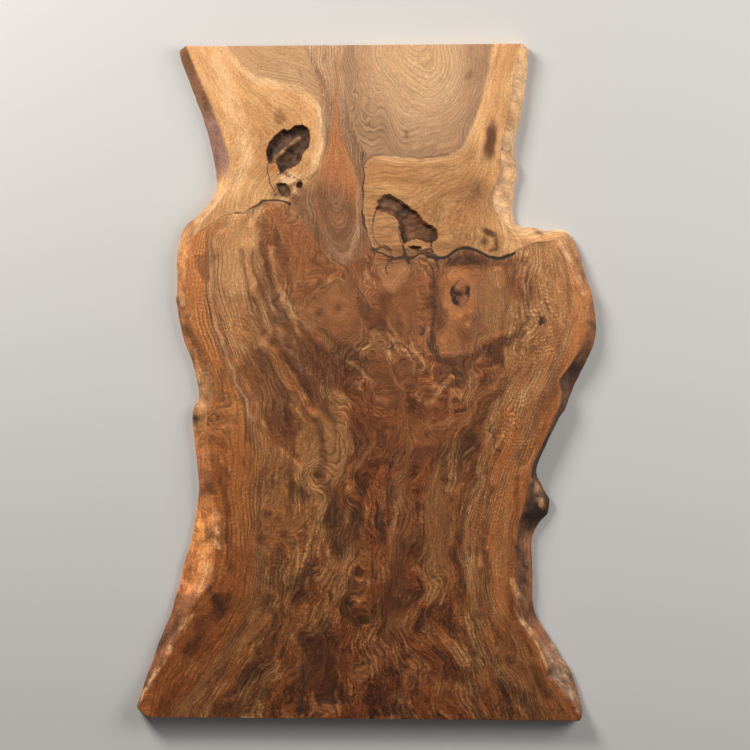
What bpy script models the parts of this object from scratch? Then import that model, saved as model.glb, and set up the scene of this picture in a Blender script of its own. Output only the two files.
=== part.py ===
"""A walnut slab with two natural edges, sawn lengthwise out of a trunk just where it forks.

Metres, +Z up. The slab lies on its sawn underside, with the finished face up. +Y runs along the
grain towards the narrow head, and the origin is under the middle of the slab's bounding box.
It is one piece of wood, so it is one object: walnut_slab.
"""

import math

import bmesh
import bpy
import numpy as np
from mathutils import Vector, noise

MM = 0.001

# Driving sizes of the slab
THICKNESS = 54 * MM
ARRIS_EASE = 3 * MM
CORNER_TUCK = 2 * MM
WIDEST_LEVEL = 0.80

# Fineness of the mesh
ROWS = 150
EDGE_STEPS = 5
POCKET_GRID = 6 * MM

# The natural edges, in millimetres from the middle of the slab, listed from the head to the foot.
# Each station gives the sharp arris of the finished face (x, y), the widest line of the natural
# edge below it (x, y), and the belly: how far the edge bulges past a straight slope between them.
LEFT_EDGE = (
    (-487, 910, -491, 910, 1),
    (-481, 896, -505, 896, 2),
    (-470, 869, -500, 869, 2),
    (-447, 815, -481, 815, 3),
    (-423, 761, -460, 761, 4),
    (-401, 707, -440, 707, 5),
    (-382, 653, -424, 653, 7),
    (-367, 599, -413, 599, 9),
    (-365, 564, -407, 564, 10),
    (-375, 529, -405, 529, 8),
    (-400, 500, -413, 500, 5),
    (-424, 467, -433, 470, 4),
    (-446, 443, -459, 448, 4),
    (-462, 416, -486, 427, 5),
    (-475, 389, -500, 402, 6),
    (-486, 356, -508, 370, 7),
    (-490, 324, -513, 324, 8),
    (-489, 262, -512, 262, 8),
    (-486, 213, -514, 213, 9),
    (-478, 167, -508, 167, 9),
    (-462, 113, -494, 113, 9),
    (-437, 59, -473, 59, 10),
    (-421, 5, -460, 5, 11),
    (-421, -40, -454, -40, 10),
    (-432, -76, -466, -76, 12),
    (-435, -124, -470, -124, 12),
    (-429, -170, -464, -170, 10),
    (-413, -278, -454, -278, 9),
    (-405, -332, -458, -332, 8),
    (-402, -386, -466, -386, 5),
    (-404, -440, -477, -440, 2),
    (-409, -494, -494, -494, -1),
    (-420, -543, -505, -543, -3),
    (-452, -580, -516, -580, 0),
    (-481, -621, -528, -621, 4),
    (-497, -664, -545, -664, 7),
    (-522, -710, -564, -710, 7),
    (-548, -764, -583, -764, 6),
    (-582, -818, -602, -818, 4),
    (-608, -859, -614, -859, 3),
    (-613, -880, -621, -880, 2),
    (-602, -897, -607, -897, 1),
    (-580, -908, -583, -908, 1),
)
RIGHT_EDGE = (
    (417, 917, 421, 917, 1),
    (414, 902, 439, 903, 3),
    (409, 869, 439, 869, 4),
    (398, 821, 433, 821, 5),
    (392, 770, 427, 770, 6),
    (383, 721, 417, 721, 7),
    (374, 680, 408, 680, 8),
    (366, 645, 400, 645, 9),
    (365, 610, 400, 610, 10),
    (367, 578, 408, 578, 11),
    (356, 540, 404, 540, 10),
    (343, 500, 399, 500, 8),
    (347, 467, 396, 464, 5),
    (362, 443, 401, 440, 2),
    (386, 416, 416, 420, 0),
    (416, 394, 440, 420, 2),
    (446, 383, 464, 416, 4),
    (475, 381, 489, 410, 1),
    (502, 383, 516, 413, 0),
    (520, 378, 543, 406, 4),
    (532, 356, 563, 383, 6),
    (547, 327, 578, 348, 6),
    (567, 286, 591, 300, 5),
    (585, 254, 605, 259, 4),
    (593, 219, 616, 219, 5),
    (590, 167, 622, 167, 7),
    (590, 119, 621, 119, 6),
    (570, 76, 605, 73, -8),
    (548, 41, 587, 38, -14),
    (522, 3, 571, 3, -14),
    (527, -32, 555, -32, -2),
    (522, -65, 541, -68, 1),
    (504, -103, 521, -103, -1),
    (485, -149, 498, -149, -1),
    (463, -194, 477, -194, -1),
    (448, -232, 462, -230, 0),
    (444, -259, 464, -259, 3),
    (437, -289, 481, -292, 7),
    (431, -319, 495, -327, 11),
    (424, -348, 491, -356, 10),
    (413, -383, 468, -383, 6),
    (409, -421, 451, -421, 6),
    (408, -462, 448, -462, 7),
    (408, -508, 450, -508, 8),
    (410, -548, 451, -548, 8),
    (408, -589, 451, -589, 3),
    (414, -634, 462, -634, -4),
    (436, -667, 482, -670, -7),
    (460, -702, 504, -702, -7),
    (479, -737, 524, -737, -8),
    (493, -770, 548, -770, -6),
    (491, -795, 560, -796, -2),
    (516, -818, 570, -826, 0),
    (543, -848, 578, -853, 1),
    (567, -880, 586, -880, 2),
    (579, -902, 587, -899, 1),
    (575, -917, 579, -915, 1),
)

# Ripples of the cambium along the natural edges
RIPPLE_LENGTH = 70 * MM
RIPPLE_WIDTH = 16 * MM
RIPPLE_HEIGHT = 3.2 * MM

# Burls and sockets on the natural edges, in millimetres: x, y, height above the underside, radius,
# and how far the lump stands out, or sinks in where that is negative.
EDGE_LUMPS = (
    (-505, 222, 30, 14, 4),
    (-512, 201, 26, 9, -4),
    (-440, -45, 40, 20, -6),
    (-455, -92, 36, 30, 6),
    (-450, -150, 34, 16, -4),
    (404, 583, 34, 20, 5),
    (462, 402, 34, 20, 5),
    (478, 396, 32, 8, -5),
    (470, -285, 30, 24, 5),
    (482, -322, 22, 16, 8),
    (458, -345, 34, 15, -7),
    (440, -390, 30, 16, -4),
    (452, -500, 30, 12, 3),
    (430, -560, 42, 15, 5),
)

# Bark pockets left open in the finished face: each is a depth and the points of its rim, in
# millimetres. The first two are the hollows over the left and the right crotch.
POCKETS = (
    (
        19,
        (
            (-190, 695), (-171, 695), (-158, 688), (-152, 678), (-150, 662), (-152, 645),
            (-155, 629), (-166, 621), (-171, 613), (-174, 599), (-180, 591), (-190, 583),
            (-201, 577), (-212, 574), (-220, 567), (-231, 560), (-236, 572), (-242, 586),
            (-247, 591), (-258, 587), (-263, 589), (-269, 599), (-271, 613), (-271, 626),
            (-267, 640), (-261, 651), (-252, 662), (-242, 672), (-231, 680), (-223, 684),
            (-215, 680), (-209, 683), (-198, 691),
        ),
    ),
    (
        22,
        (
            (28, 491), (34, 499), (44, 505), (61, 509), (72, 505), (88, 494), (104, 483),
            (120, 471), (136, 460), (147, 451), (155, 437), (166, 428), (180, 422), (190, 413),
            (196, 402), (196, 389), (190, 381), (177, 375), (163, 375), (150, 381), (115, 378),
            (101, 371), (93, 389), (88, 413), (85, 437), (77, 444), (61, 451), (42, 456),
            (23, 467), (28, 478),
        ),
    ),
    (
        9,
        (
            (-244, 535), (-231, 540), (-215, 535), (-204, 521), (-204, 505), (-215, 497),
            (-228, 500), (-239, 516),
        ),
    ),
    (
        12,
        (
            (-190, 532), (-187, 540), (-180, 543), (-172, 540), (-169, 532), (-172, 524),
            (-180, 521), (-187, 524),
        ),
    ),
    (10, ((115, 366), (125, 369), (150, 366), (152, 360), (140, 356), (120, 356))),
)
WALL_SLOPE = 1.7
RIM_LIFT = 3 * MM

# Sound wood and bark standing up on the pocket floors, in millimetres: x, y, radius, height
FLOOR_LUMPS = (
    (-190, 652, 9, 8),
    (-204, 642, 11, 11),
    (-218, 630, 13, 13),
    (-232, 617, 13, 12),
    (-246, 606, 10, 8),
    (46, 482, 20, 11),
    (66, 474, 18, 9),
    (84, 462, 14, 6),
    (132, 384, 12, 9),
)
FLOOR_ROUGHNESS = 1.6 * MM

WALNUT_COLOUR = (0.30, 0.125, 0.045, 1.0)
WALNUT_ROUGHNESS = 0.38


def clear_scene():
    """Remove whatever the file opened with."""
    for obj in list(bpy.data.objects):
        bpy.data.objects.remove(obj)


def smooth_stations(edge, count):
    """Stations at even steps of length along a smooth curve through the listed ones, in metres."""
    listed = np.array(edge, float) * MM
    padded = np.vstack((2 * listed[0] - listed[1], listed, 2 * listed[-1] - listed[-2]))
    fine = []
    for before, start, end, after in zip(padded, padded[1:], padded[2:], padded[3:]):
        for t in np.linspace(0, 1, 12, endpoint=False):
            bend = (2 * before - 5 * start + 4 * end - after) * t * t
            twist = (3 * start - before - 3 * end + after) * t**3
            fine.append(start + 0.5 * ((end - before) * t + bend + twist))
    fine.append(listed[-1])
    fine = np.array(fine)
    steps = np.linalg.norm(np.diff(fine[:, :4], axis=0), axis=1)
    length = np.concatenate(([0], np.cumsum(steps)))
    even = np.linspace(0, length[-1], count)
    return np.column_stack([np.interp(even, length, column) for column in fine.T])


def edge_relief(point):
    """How far the natural edge stands out at a point, from its ripples and its lumps."""
    ripple = Vector((point.x / RIPPLE_WIDTH, point.y / RIPPLE_LENGTH, point.z / RIPPLE_WIDTH))
    relief = RIPPLE_HEIGHT * noise.noise(ripple)
    for x, y, z, radius, height in EDGE_LUMPS:
        away = (point - Vector((x, y, z)) * MM).length / (radius * MM)
        relief += height * MM * math.exp(-away * away)
    return relief


def outward_normals(outline):
    """Level unit vectors that point out of a closed outline at each of its points."""
    ahead = np.roll(outline, -1, axis=0) - outline
    ahead /= np.linalg.norm(ahead, axis=1)[:, None]
    tangent = ahead + np.roll(ahead, 1, axis=0)
    tangent /= np.linalg.norm(tangent, axis=1)[:, None]
    return np.column_stack((tangent[:, 1], -tangent[:, 0]))


def edge_section(station, outwards):
    """The edge at one station, from the finished face over its arris and down to the underside."""
    arris = Vector((station[0], station[1], 0))
    widest = Vector((station[2], station[3], 0))
    belly = station[4]
    outwards = Vector((outwards[0], outwards[1], 0))
    height = THICKNESS - 2 * ARRIS_EASE
    points = [arris - outwards * ARRIS_EASE + Vector((0, 0, THICKNESS))]
    for step in range(EDGE_STEPS + 1):
        depth = step / EDGE_STEPS
        slope = min(1, depth / WIDEST_LEVEL)
        tuck = CORNER_TUCK * max(0, depth - WIDEST_LEVEL) / (1 - WIDEST_LEVEL)
        point = arris.lerp(widest, slope) - outwards * tuck
        point.z = THICKNESS - ARRIS_EASE - height * depth
        swell = belly * math.sin(math.pi * slope) + edge_relief(point) * math.sin(math.pi * depth)
        points.append(point + outwards * (swell if belly else 0))
    foot = points[-1] - outwards * ARRIS_EASE
    points.append(Vector((foot.x, foot.y, 0)))
    return points


def slab_body():
    """The slab as one band of edge sections all the way round, closed by its two broad faces."""
    left = smooth_stations(LEFT_EDGE, ROWS)
    right = smooth_stations(RIGHT_EDGE, ROWS)
    head = np.array([RIGHT_EDGE[0], LEFT_EDGE[0]], float) * MM
    foot = np.array([LEFT_EDGE[-1], RIGHT_EDGE[-1]], float) * MM
    around = np.vstack((left, foot, right[::-1], head))
    around = around[np.r_[True, np.any(np.diff(around, axis=0) != 0, axis=1)]][:-1]
    crosscut = np.isin(np.arange(len(around)), (0, len(left) - 1, len(left), len(around) - 1))
    around[crosscut, 4] = 0
    normals = outward_normals(around[:, 2:4])
    sections = [edge_section(station, way) for station, way in zip(around, normals)]
    steps = len(sections[0])
    mesh = bmesh.new()
    bmesh.ops.create_grid(mesh, x_segments=steps - 1, y_segments=len(sections), size=1)
    mesh.verts.ensure_lookup_table()
    for index, vert in enumerate(mesh.verts):
        place, step = divmod(index, steps)
        vert.co = sections[place % len(sections)][step]
    bmesh.ops.remove_doubles(mesh, verts=mesh.verts, dist=0.01 * MM)
    rims = [edge for edge in mesh.edges if edge.is_boundary]
    bmesh.ops.holes_fill(mesh, edges=rims, sides=0)
    bmesh.ops.recalc_face_normals(mesh, faces=mesh.faces)
    return mesh


def distance_inside(rim, x, y):
    """Distance from a point to a pocket's rim, negative outside it."""
    nearest = math.inf
    inside = False
    for (ax, ay), (bx, by) in zip(rim, rim[1:] + rim[:1]):
        along = ((x - ax) * (bx - ax) + (y - ay) * (by - ay)) / ((bx - ax) ** 2 + (by - ay) ** 2)
        along = min(1, max(0, along))
        away = math.hypot(x - ax - along * (bx - ax), y - ay - along * (by - ay))
        nearest = min(nearest, away)
        if (ay > y) != (by > y) and x < ax + (y - ay) * (bx - ax) / (by - ay):
            inside = not inside
    return nearest if inside else -nearest


def pocket_depth(x, y):
    """Depth of the bark pockets below the finished face at a point, negative outside them."""
    depth = -RIM_LIFT
    for deepest, rim in POCKETS:
        reach = distance_inside(rim, x / MM, y / MM) * MM
        depth = max(depth, min(deepest * MM, reach * WALL_SLOPE))
    if depth < 0:
        return depth
    for cx, cy, radius, height in FLOOR_LUMPS:
        away = math.hypot(x / MM - cx, y / MM - cy) / radius
        depth -= height * MM * math.exp(-away * away) * depth / (20 * MM)
    rough = noise.noise(Vector((x, y, 0)) / (9 * MM)) * FLOOR_ROUGHNESS
    return depth + rough * min(1, depth / (6 * MM))


def pocket_cutter(name, low, high):
    """A block over part of the finished face whose underside follows the pocket floors."""
    across = math.ceil((high[0] - low[0]) * MM / POCKET_GRID)
    along = math.ceil((high[1] - low[1]) * MM / POCKET_GRID)
    mesh = bmesh.new()
    bmesh.ops.create_grid(mesh, x_segments=across, y_segments=along, size=0.5)
    for vert in mesh.verts:
        x = (low[0] + (vert.co.x + 0.5) * (high[0] - low[0])) * MM
        y = (low[1] + (vert.co.y + 0.5) * (high[1] - low[1])) * MM
        vert.co = (x, y, THICKNESS - pocket_depth(x, y))
    lid = bmesh.ops.extrude_face_region(mesh, geom=mesh.faces[:])["geom"]
    for vert in (item for item in lid if isinstance(item, bmesh.types.BMVert)):
        vert.co.z = THICKNESS + 4 * RIM_LIFT
    bmesh.ops.recalc_face_normals(mesh, faces=mesh.faces)
    cutter = new_object(name, mesh)
    cutter.hide_render = True
    cutter.display_type = "WIRE"
    return cutter


def new_object(name, mesh):
    """An object holding the finished bmesh."""
    data = bpy.data.meshes.new(name)
    mesh.to_mesh(data)
    mesh.free()
    obj = bpy.data.objects.new(name, data)
    bpy.context.scene.collection.objects.link(obj)
    return obj


def walnut_material():
    """Oiled walnut, in the middle tone of the finished face."""
    material = bpy.data.materials.new("oiled_walnut")
    material.use_nodes = True
    shader = material.node_tree.nodes["Principled BSDF"]
    shader.inputs["Base Color"].default_value = WALNUT_COLOUR
    shader.inputs["Roughness"].default_value = WALNUT_ROUGHNESS
    shader.inputs["Metallic"].default_value = 0
    return material


def centre_on_origin(obj, cutters):
    """Move the slab so that the origin lies under the middle of its bounding box."""
    corners = np.array([vert.co for vert in obj.data.vertices])
    middle = (corners.min(axis=0) + corners.max(axis=0)) / 2
    for item in (obj, *cutters):
        item.location = (-middle[0], -middle[1], 0)


def main():
    clear_scene()
    slab = new_object("walnut_slab", slab_body())
    slab.data.materials.append(walnut_material())
    cutters = (
        pocket_cutter("head_pocket", (-290, 490), (-140, 730)),
        pocket_cutter("fork_pocket", (10, 340), (215, 530)),
    )
    centre_on_origin(slab, cutters)
    for cutter in cutters:
        cut = slab.modifiers.new(cutter.name, "BOOLEAN")
        cut.operation = "DIFFERENCE"
        cut.object = cutter
    slab.data.shade_smooth()
    slab.data.set_sharp_from_angle(angle=math.radians(35))


main()
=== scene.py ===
import math

import bmesh
import bpy
import numpy as np
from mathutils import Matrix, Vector, noise


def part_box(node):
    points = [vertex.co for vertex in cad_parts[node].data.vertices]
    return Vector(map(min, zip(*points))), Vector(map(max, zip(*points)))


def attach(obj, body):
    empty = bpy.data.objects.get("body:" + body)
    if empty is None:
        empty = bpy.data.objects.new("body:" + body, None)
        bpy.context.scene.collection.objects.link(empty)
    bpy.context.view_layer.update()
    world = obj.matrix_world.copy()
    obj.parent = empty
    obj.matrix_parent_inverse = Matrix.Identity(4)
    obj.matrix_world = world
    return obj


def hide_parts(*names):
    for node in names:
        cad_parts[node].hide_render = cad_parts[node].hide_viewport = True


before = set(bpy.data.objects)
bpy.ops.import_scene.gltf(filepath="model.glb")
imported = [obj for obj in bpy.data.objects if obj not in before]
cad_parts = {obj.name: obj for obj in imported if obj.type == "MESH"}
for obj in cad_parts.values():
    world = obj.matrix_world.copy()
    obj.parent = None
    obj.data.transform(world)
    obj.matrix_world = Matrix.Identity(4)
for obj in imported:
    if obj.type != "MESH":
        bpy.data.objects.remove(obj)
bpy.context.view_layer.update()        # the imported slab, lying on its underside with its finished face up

MM = 0.001

# The studio: a camera straight above the slab, a plain pale floor under it, one large soft key
# light over the head's left corner and a weaker, wider fill on the other side. The camera stands
# far off, so that the natural edges are seen past the arris as they are in the photograph.
slab_low, slab_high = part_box("walnut_slab")
THICKNESS = slab_high.z - slab_low.z
CAMERA_HEIGHT = 10.0
FIELD = 2.025
CAMERA_X = 0.0227
CAMERA_Y = 0.0189
SENSOR = 36

camera = bpy.data.objects.new("camera", bpy.data.cameras.new("camera"))
bpy.context.scene.collection.objects.link(camera)
camera.location = (CAMERA_X, CAMERA_Y, THICKNESS + CAMERA_HEIGHT)
camera.data.sensor_width = SENSOR
camera.data.lens = SENSOR * CAMERA_HEIGHT / FIELD
camera.data.clip_end = 100
bpy.context.scene.camera = camera
bpy.context.scene.view_settings.view_transform = "Standard"


def soft_light(name, place, aim, width, power, colour):
    """A square area light that stands at one point and faces another."""
    light = bpy.data.objects.new(name, bpy.data.lights.new(name, "AREA"))
    bpy.context.scene.collection.objects.link(light)
    light.location = place
    light.rotation_euler = (Vector(aim) - Vector(place)).to_track_quat("-Z", "Y").to_euler()
    light.data.size = width
    light.data.energy = power
    light.data.color = colour


soft_light(
    "key", place=(-2.6, 2.9, 2.6), aim=(0.1, 0.2, 0), width=1.6, power=200, colour=(1, 0.97, 0.92)
)
soft_light("fill", place=(3.0, 1.2, 2.6), aim=(0, 0, 0), width=2.4, power=92, colour=(1, 0.97, 0.94))
world = bpy.context.scene.world or bpy.data.worlds.new("studio")
bpy.context.scene.world = world
world.use_nodes = True
sky = world.node_tree.nodes["Background"].inputs
sky["Color"].default_value = (0.9, 0.92, 0.95, 1)
sky["Strength"].default_value = 0.14

FLOOR_SIZE = 14
floor_mesh = bmesh.new()
bmesh.ops.create_grid(floor_mesh, x_segments=1, y_segments=1, size=FLOOR_SIZE / 2)
floor = bpy.data.objects.new("floor", bpy.data.meshes.new("floor"))
floor_mesh.to_mesh(floor.data)
floor_mesh.free()
bpy.context.scene.collection.objects.link(floor)
paper = bpy.data.materials.new("floor_paper")
paper.use_nodes = True
matt = paper.node_tree.nodes["Principled BSDF"].inputs
matt["Base Color"].default_value = (0.62, 0.61, 0.59, 1)
matt["Roughness"].default_value = 0.85
floor.data.materials.append(paper)

# The slab: one walnut plank, sawn lengthwise out of a trunk just where it forks, with its two
# natural edges peeled and sanded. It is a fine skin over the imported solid's own outline: rows run
# from the left edge to the right one, tilted where the right edge steps out into its shoulder.

# A station of an edge, in millimetres, is the arris of the face (x, y), the widest line below it
# (x, y) and the belly between the two. Stations run from the head to the foot.
LEFT_EDGE = (
    (-487, 910, -491, 910, 1), (-481, 896, -505, 896, 2), (-470, 869, -500, 869, 2),
    (-447, 815, -481, 815, 3), (-423, 761, -460, 761, 4), (-401, 707, -440, 707, 5),
    (-382, 653, -424, 653, 7), (-367, 599, -413, 599, 9), (-365, 564, -407, 564, 10),
    (-375, 529, -405, 529, 8), (-400, 500, -413, 500, 5), (-424, 467, -433, 470, 4),
    (-446, 443, -459, 448, 4), (-462, 416, -486, 427, 5), (-475, 389, -500, 402, 6),
    (-486, 356, -508, 370, 7), (-490, 324, -513, 324, 8), (-489, 262, -512, 262, 8),
    (-486, 213, -514, 213, 9), (-478, 167, -508, 167, 9), (-462, 113, -494, 113, 9),
    (-437, 59, -473, 59, 10), (-421, 5, -460, 5, 11), (-421, -40, -454, -40, 10),
    (-432, -76, -466, -76, 12), (-435, -124, -470, -124, 12), (-429, -170, -464, -170, 10),
    (-413, -278, -454, -278, 9), (-405, -332, -458, -332, 8), (-402, -386, -466, -386, 5),
    (-404, -440, -477, -440, 2), (-409, -494, -494, -494, -1), (-420, -543, -505, -543, -3),
    (-452, -580, -516, -580, 0), (-481, -621, -528, -621, 4), (-497, -664, -545, -664, 7),
    (-522, -710, -564, -710, 7), (-548, -764, -583, -764, 6), (-582, -818, -602, -818, 4),
    (-608, -859, -614, -859, 3), (-613, -880, -621, -880, 2), (-602, -897, -607, -897, 1),
    (-580, -908, -583, -908, 1),
)
RIGHT_EDGE = (
    (417, 917, 421, 917, 1), (414, 902, 439, 903, 3), (409, 869, 439, 869, 4), (398, 821, 433, 821, 5),
    (392, 770, 427, 770, 6), (383, 721, 417, 721, 7), (374, 680, 408, 680, 8), (366, 645, 400, 645, 9),
    (365, 610, 400, 610, 10), (367, 578, 408, 578, 11), (356, 540, 404, 540, 10),
    (343, 500, 399, 500, 8), (347, 467, 396, 464, 5), (362, 443, 401, 440, 2), (386, 416, 416, 420, 0),
    (416, 394, 440, 420, 2), (446, 383, 464, 416, 4), (475, 381, 489, 410, 1), (502, 383, 516, 413, 0),
    (520, 378, 543, 406, 4), (532, 356, 563, 383, 6), (547, 327, 578, 348, 6), (567, 286, 591, 300, 5),
    (585, 254, 605, 259, 4), (593, 219, 616, 219, 5), (590, 167, 622, 167, 7), (590, 119, 621, 119, 6),
    (570, 76, 605, 73, -8), (548, 41, 587, 38, -14), (522, 3, 571, 3, -14), (527, -32, 555, -32, -2),
    (522, -65, 541, -68, 1), (504, -103, 521, -103, -1), (485, -149, 498, -149, -1),
    (463, -194, 477, -194, -1), (448, -232, 462, -230, 0), (444, -259, 464, -259, 3),
    (437, -289, 481, -292, 7), (431, -319, 495, -327, 11), (424, -348, 491, -356, 10),
    (413, -383, 468, -383, 6), (409, -421, 451, -421, 6), (408, -462, 448, -462, 7),
    (408, -508, 450, -508, 8), (410, -548, 451, -548, 8), (408, -589, 451, -589, 3),
    (414, -634, 462, -634, -4), (436, -667, 482, -670, -7), (460, -702, 504, -702, -7),
    (479, -737, 524, -737, -8), (493, -770, 548, -770, -6), (491, -795, 560, -796, -2),
    (516, -818, 570, -826, 0), (543, -848, 578, -853, 1), (567, -880, 586, -880, 2),
    (579, -902, 587, -899, 1), (575, -917, 579, -915, 1),
)
# Stations of the two edges that lie on one row
ROW_MATCH = (
    (0, 0), (1, 1), (5, 5), (9, 10), (12, 12), (15, 14), (17, 16), (18, 18), (19, 20), (21, 23),
    (22, 25), (24, 28), (26, 32), (29, 40), (33, 45), (37, 50), (40, 54), (42, 56),
)
ROW_STEP = 8.8 * MM
FACE_COLUMNS = 184
UNDER_COLUMNS = 36
EDGE_STEPS = 10
ARC_STEPS = 3
SPLINE_STEPS = 12
CORNER_TUCK = 2 * MM
WIDEST_LEVEL = 0.80
END_EASE = 3 * MM
FOOT_EASE = 3 * MM
# How far the arris is sanded round: y and radius, from the head to the foot
LEFT_ARRIS = ((910, 3), (560, 4), (490, 10), (200, 11), (-40, 13), (-190, 12), (-270, 3), (-908, 3))
RIGHT_ARRIS = (
    (917, 3), (660, 3), (600, 9), (470, 8), (400, 3), (90, 3), (60, 2), (-10, 3), (-300, 4),
    (-430, 9), (-570, 10), (-610, 3), (-917, 3),
)
# Height of the ripples and of the fibre on the natural edges, and their size along x, y and z in
# metres. Both are set in a little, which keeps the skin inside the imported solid's box.
RELIEF = ((3.2 * MM, (0.016, 0.07, 0.016)), (1.3 * MM, (0.006, 0.018, 0.007)))
RELIEF_SET_IN = 0.8 * MM
# Burls and sockets on the natural edges: x, y, height above the floor, radius, how far it stands out
EDGE_LUMPS = (
    (-505, 222, 30, 14, 4), (-512, 201, 26, 9, -4), (-440, -45, 40, 20, -6),
    (-455, -92, 36, 30, 6), (-450, -150, 34, 16, -4), (404, 583, 34, 20, 5),
    (462, 402, 34, 20, 5), (478, 396, 32, 8, -5), (470, -285, 30, 24, 5),
    (482, -322, 22, 16, 8), (458, -345, 34, 15, -7), (440, -390, 30, 16, -4),
    (452, -500, 30, 12, 3), (430, -560, 42, 15, 5),
)


def spline(edge):
    """The smooth curve through an edge's stations, its length so far, and each station's length."""
    listed = np.array(edge, float) * MM
    padded = np.vstack((2 * listed[0] - listed[1], listed, 2 * listed[-1] - listed[-2]))
    fine = []
    for before, start, end, after in zip(padded, padded[1:], padded[2:], padded[3:]):
        for t in np.linspace(0, 1, SPLINE_STEPS, endpoint=False):
            bend = (2 * before - 5 * start + 4 * end - after) * t * t
            twist = (3 * start - before - 3 * end + after) * t**3
            fine.append(start + 0.5 * ((end - before) * t + bend + twist))
    fine = np.array(fine + [listed[-1]])
    steps = np.linalg.norm(np.diff(fine[:, :4], axis=0), axis=1)
    length = np.concatenate(([0], np.cumsum(steps)))
    return fine, length, length[::SPLINE_STEPS]


def matched_rows():
    """Stations of the left and of the right edge, one of each for every row of the skin."""
    left, left_length, left_marks = spline(LEFT_EDGE)
    right, right_length, right_marks = spline(RIGHT_EDGE)
    left_at, right_at = [], []
    for (left_from, right_from), (left_to, right_to) in zip(ROW_MATCH, ROW_MATCH[1:]):
        left_span = left_marks[left_from], left_marks[left_to]
        right_span = right_marks[right_from], right_marks[right_to]
        longest = max(left_span[1] - left_span[0], right_span[1] - right_span[0])
        count = max(2, round(longest / ROW_STEP))
        left_at.extend(np.linspace(*left_span, count, endpoint=False))
        right_at.extend(np.linspace(*right_span, count, endpoint=False))
    left_at.append(left_length[-1])
    right_at.append(right_length[-1])
    rows = []
    for at, length, curve in ((left_at, left_length, left), (right_at, right_length, right)):
        at = np.array(at)
        turns = np.linspace(0, math.pi / 2, ARC_STEPS + 1)[1:]
        eased = END_EASE * (1 - np.cos(turns))
        at = np.concatenate(([0], eased, at[at > END_EASE]))
        at = np.concatenate((at[at < length[-1] - END_EASE], length[-1] - eased[::-1], [length[-1]]))
        rows.append(np.column_stack([np.interp(at, length, column) for column in curve.T]))
    return rows


def outward(edge, side):
    """Level unit vectors that point out of one edge's widest line. side is 1 right and -1 left."""
    tangent = np.gradient(edge[:, 2:4], axis=0)
    tangent /= np.linalg.norm(tangent, axis=1)[:, None]
    return np.column_stack((-tangent[:, 1], tangent[:, 0])) * side


def edge_relief(point):
    """How far the natural edge stands out: ripples of the cambium, fine fibre, burls, sockets."""
    relief = -RELIEF_SET_IN
    for height, size in RELIEF:
        relief += height * noise.noise(Vector([part / step for part, step in zip(point, size)]))
    for x, y, z, radius, height in EDGE_LUMPS:
        away = (point - Vector((x, y, z)) * MM).length / (radius * MM)
        relief += height * MM * math.exp(-away * away)
    return relief


def edge_section(station, way, inset, radius):
    """One side of a cross-section, from the finished face over its arris to the underside."""
    arris = Vector((station[0], station[1], 0))
    widest = Vector((station[2], station[3], 0))
    out = Vector((way[0], way[1], 0))
    top = THICKNESS - inset
    height = top - radius - inset - FOOT_EASE
    points = []
    for turn in np.linspace(0, math.pi / 2, ARC_STEPS + 1)[:-1]:
        point = arris - out * (radius * (1 - math.sin(turn)) + inset)
        points.append(point + Vector((0, 0, top - radius * (1 - math.cos(turn)))))
    for step in range(EDGE_STEPS + 1):
        depth = step / EDGE_STEPS
        slope = min(1, depth / WIDEST_LEVEL)
        tuck = CORNER_TUCK * max(0, depth - WIDEST_LEVEL) / (1 - WIDEST_LEVEL)
        point = arris.lerp(widest, slope) - out * (tuck + inset)
        point.z = top - radius - height * depth
        swell = station[4] * math.sin(math.pi * slope)
        swell += edge_relief(point) * math.sin(math.pi * depth)
        points.append(point + out * swell)
    foot = points[-1] - out * FOOT_EASE
    points.append(Vector((foot.x, foot.y, inset)))
    return points


def skin_rings():
    """Closed cross-sections: over the face, down the right edge, back below, up the left edge."""
    left, right = matched_rows()
    left_way, right_way = outward(left, -1), outward(right, 1)
    last = len(left) - 1
    rings = []
    for row in range(last + 1):
        from_end = min(row, last - row)
        inset = 0
        if from_end < ARC_STEPS:
            inset = END_EASE * (1 - math.sin(math.pi / 2 * from_end / ARC_STEPS))
        sides = []
        for station, way, arris in (
            (left[row], left_way[row], LEFT_ARRIS), (right[row], right_way[row], RIGHT_ARRIS)
        ):
            ys, radii = np.array(arris).T
            radius = np.interp(-station[1] / MM, -ys, radii) * MM
            sides.append(edge_section(station, way, inset, radius))
        left_side, right_side = sides
        face = [left_side[0].lerp(right_side[0], c / FACE_COLUMNS) for c in range(FACE_COLUMNS)]
        under = [right_side[-1].lerp(left_side[-1], c / UNDER_COLUMNS) for c in range(UNDER_COLUMNS)]
        rings.append(face + right_side[:-1] + under + left_side[:0:-1])
    return rings


def slab_skin():
    """The closed skin of the slab, with flat crosscut ends."""
    rings = skin_rings()
    around = len(rings[0])
    mesh = bmesh.new()
    bmesh.ops.create_grid(mesh, x_segments=around, y_segments=len(rings) - 1, size=1)
    for index, vert in enumerate(mesh.verts):
        row, place = divmod(index, around + 1)
        vert.co = rings[row][place % around]
    bmesh.ops.remove_doubles(mesh, verts=mesh.verts, dist=0.01 * MM)
    rims = [edge for edge in mesh.edges if edge.is_boundary]
    bmesh.ops.holes_fill(mesh, edges=rims, sides=0)
    bmesh.ops.recalc_face_normals(mesh, faces=mesh.faces)
    return mesh


def new_object(name, mesh):
    """An object holding the finished bmesh."""
    data = bpy.data.meshes.new(name)
    mesh.to_mesh(data)
    mesh.free()
    made = bpy.data.objects.new(name, data)
    bpy.context.scene.collection.objects.link(made)
    return made


slab = new_object("slab_wood", slab_skin())

# The bark pockets: where the two limbs closed over their own bark, it rotted out and left open
# hollows with crisp rims, rough brown floors and a sliver of sound wood across the left one.

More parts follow.
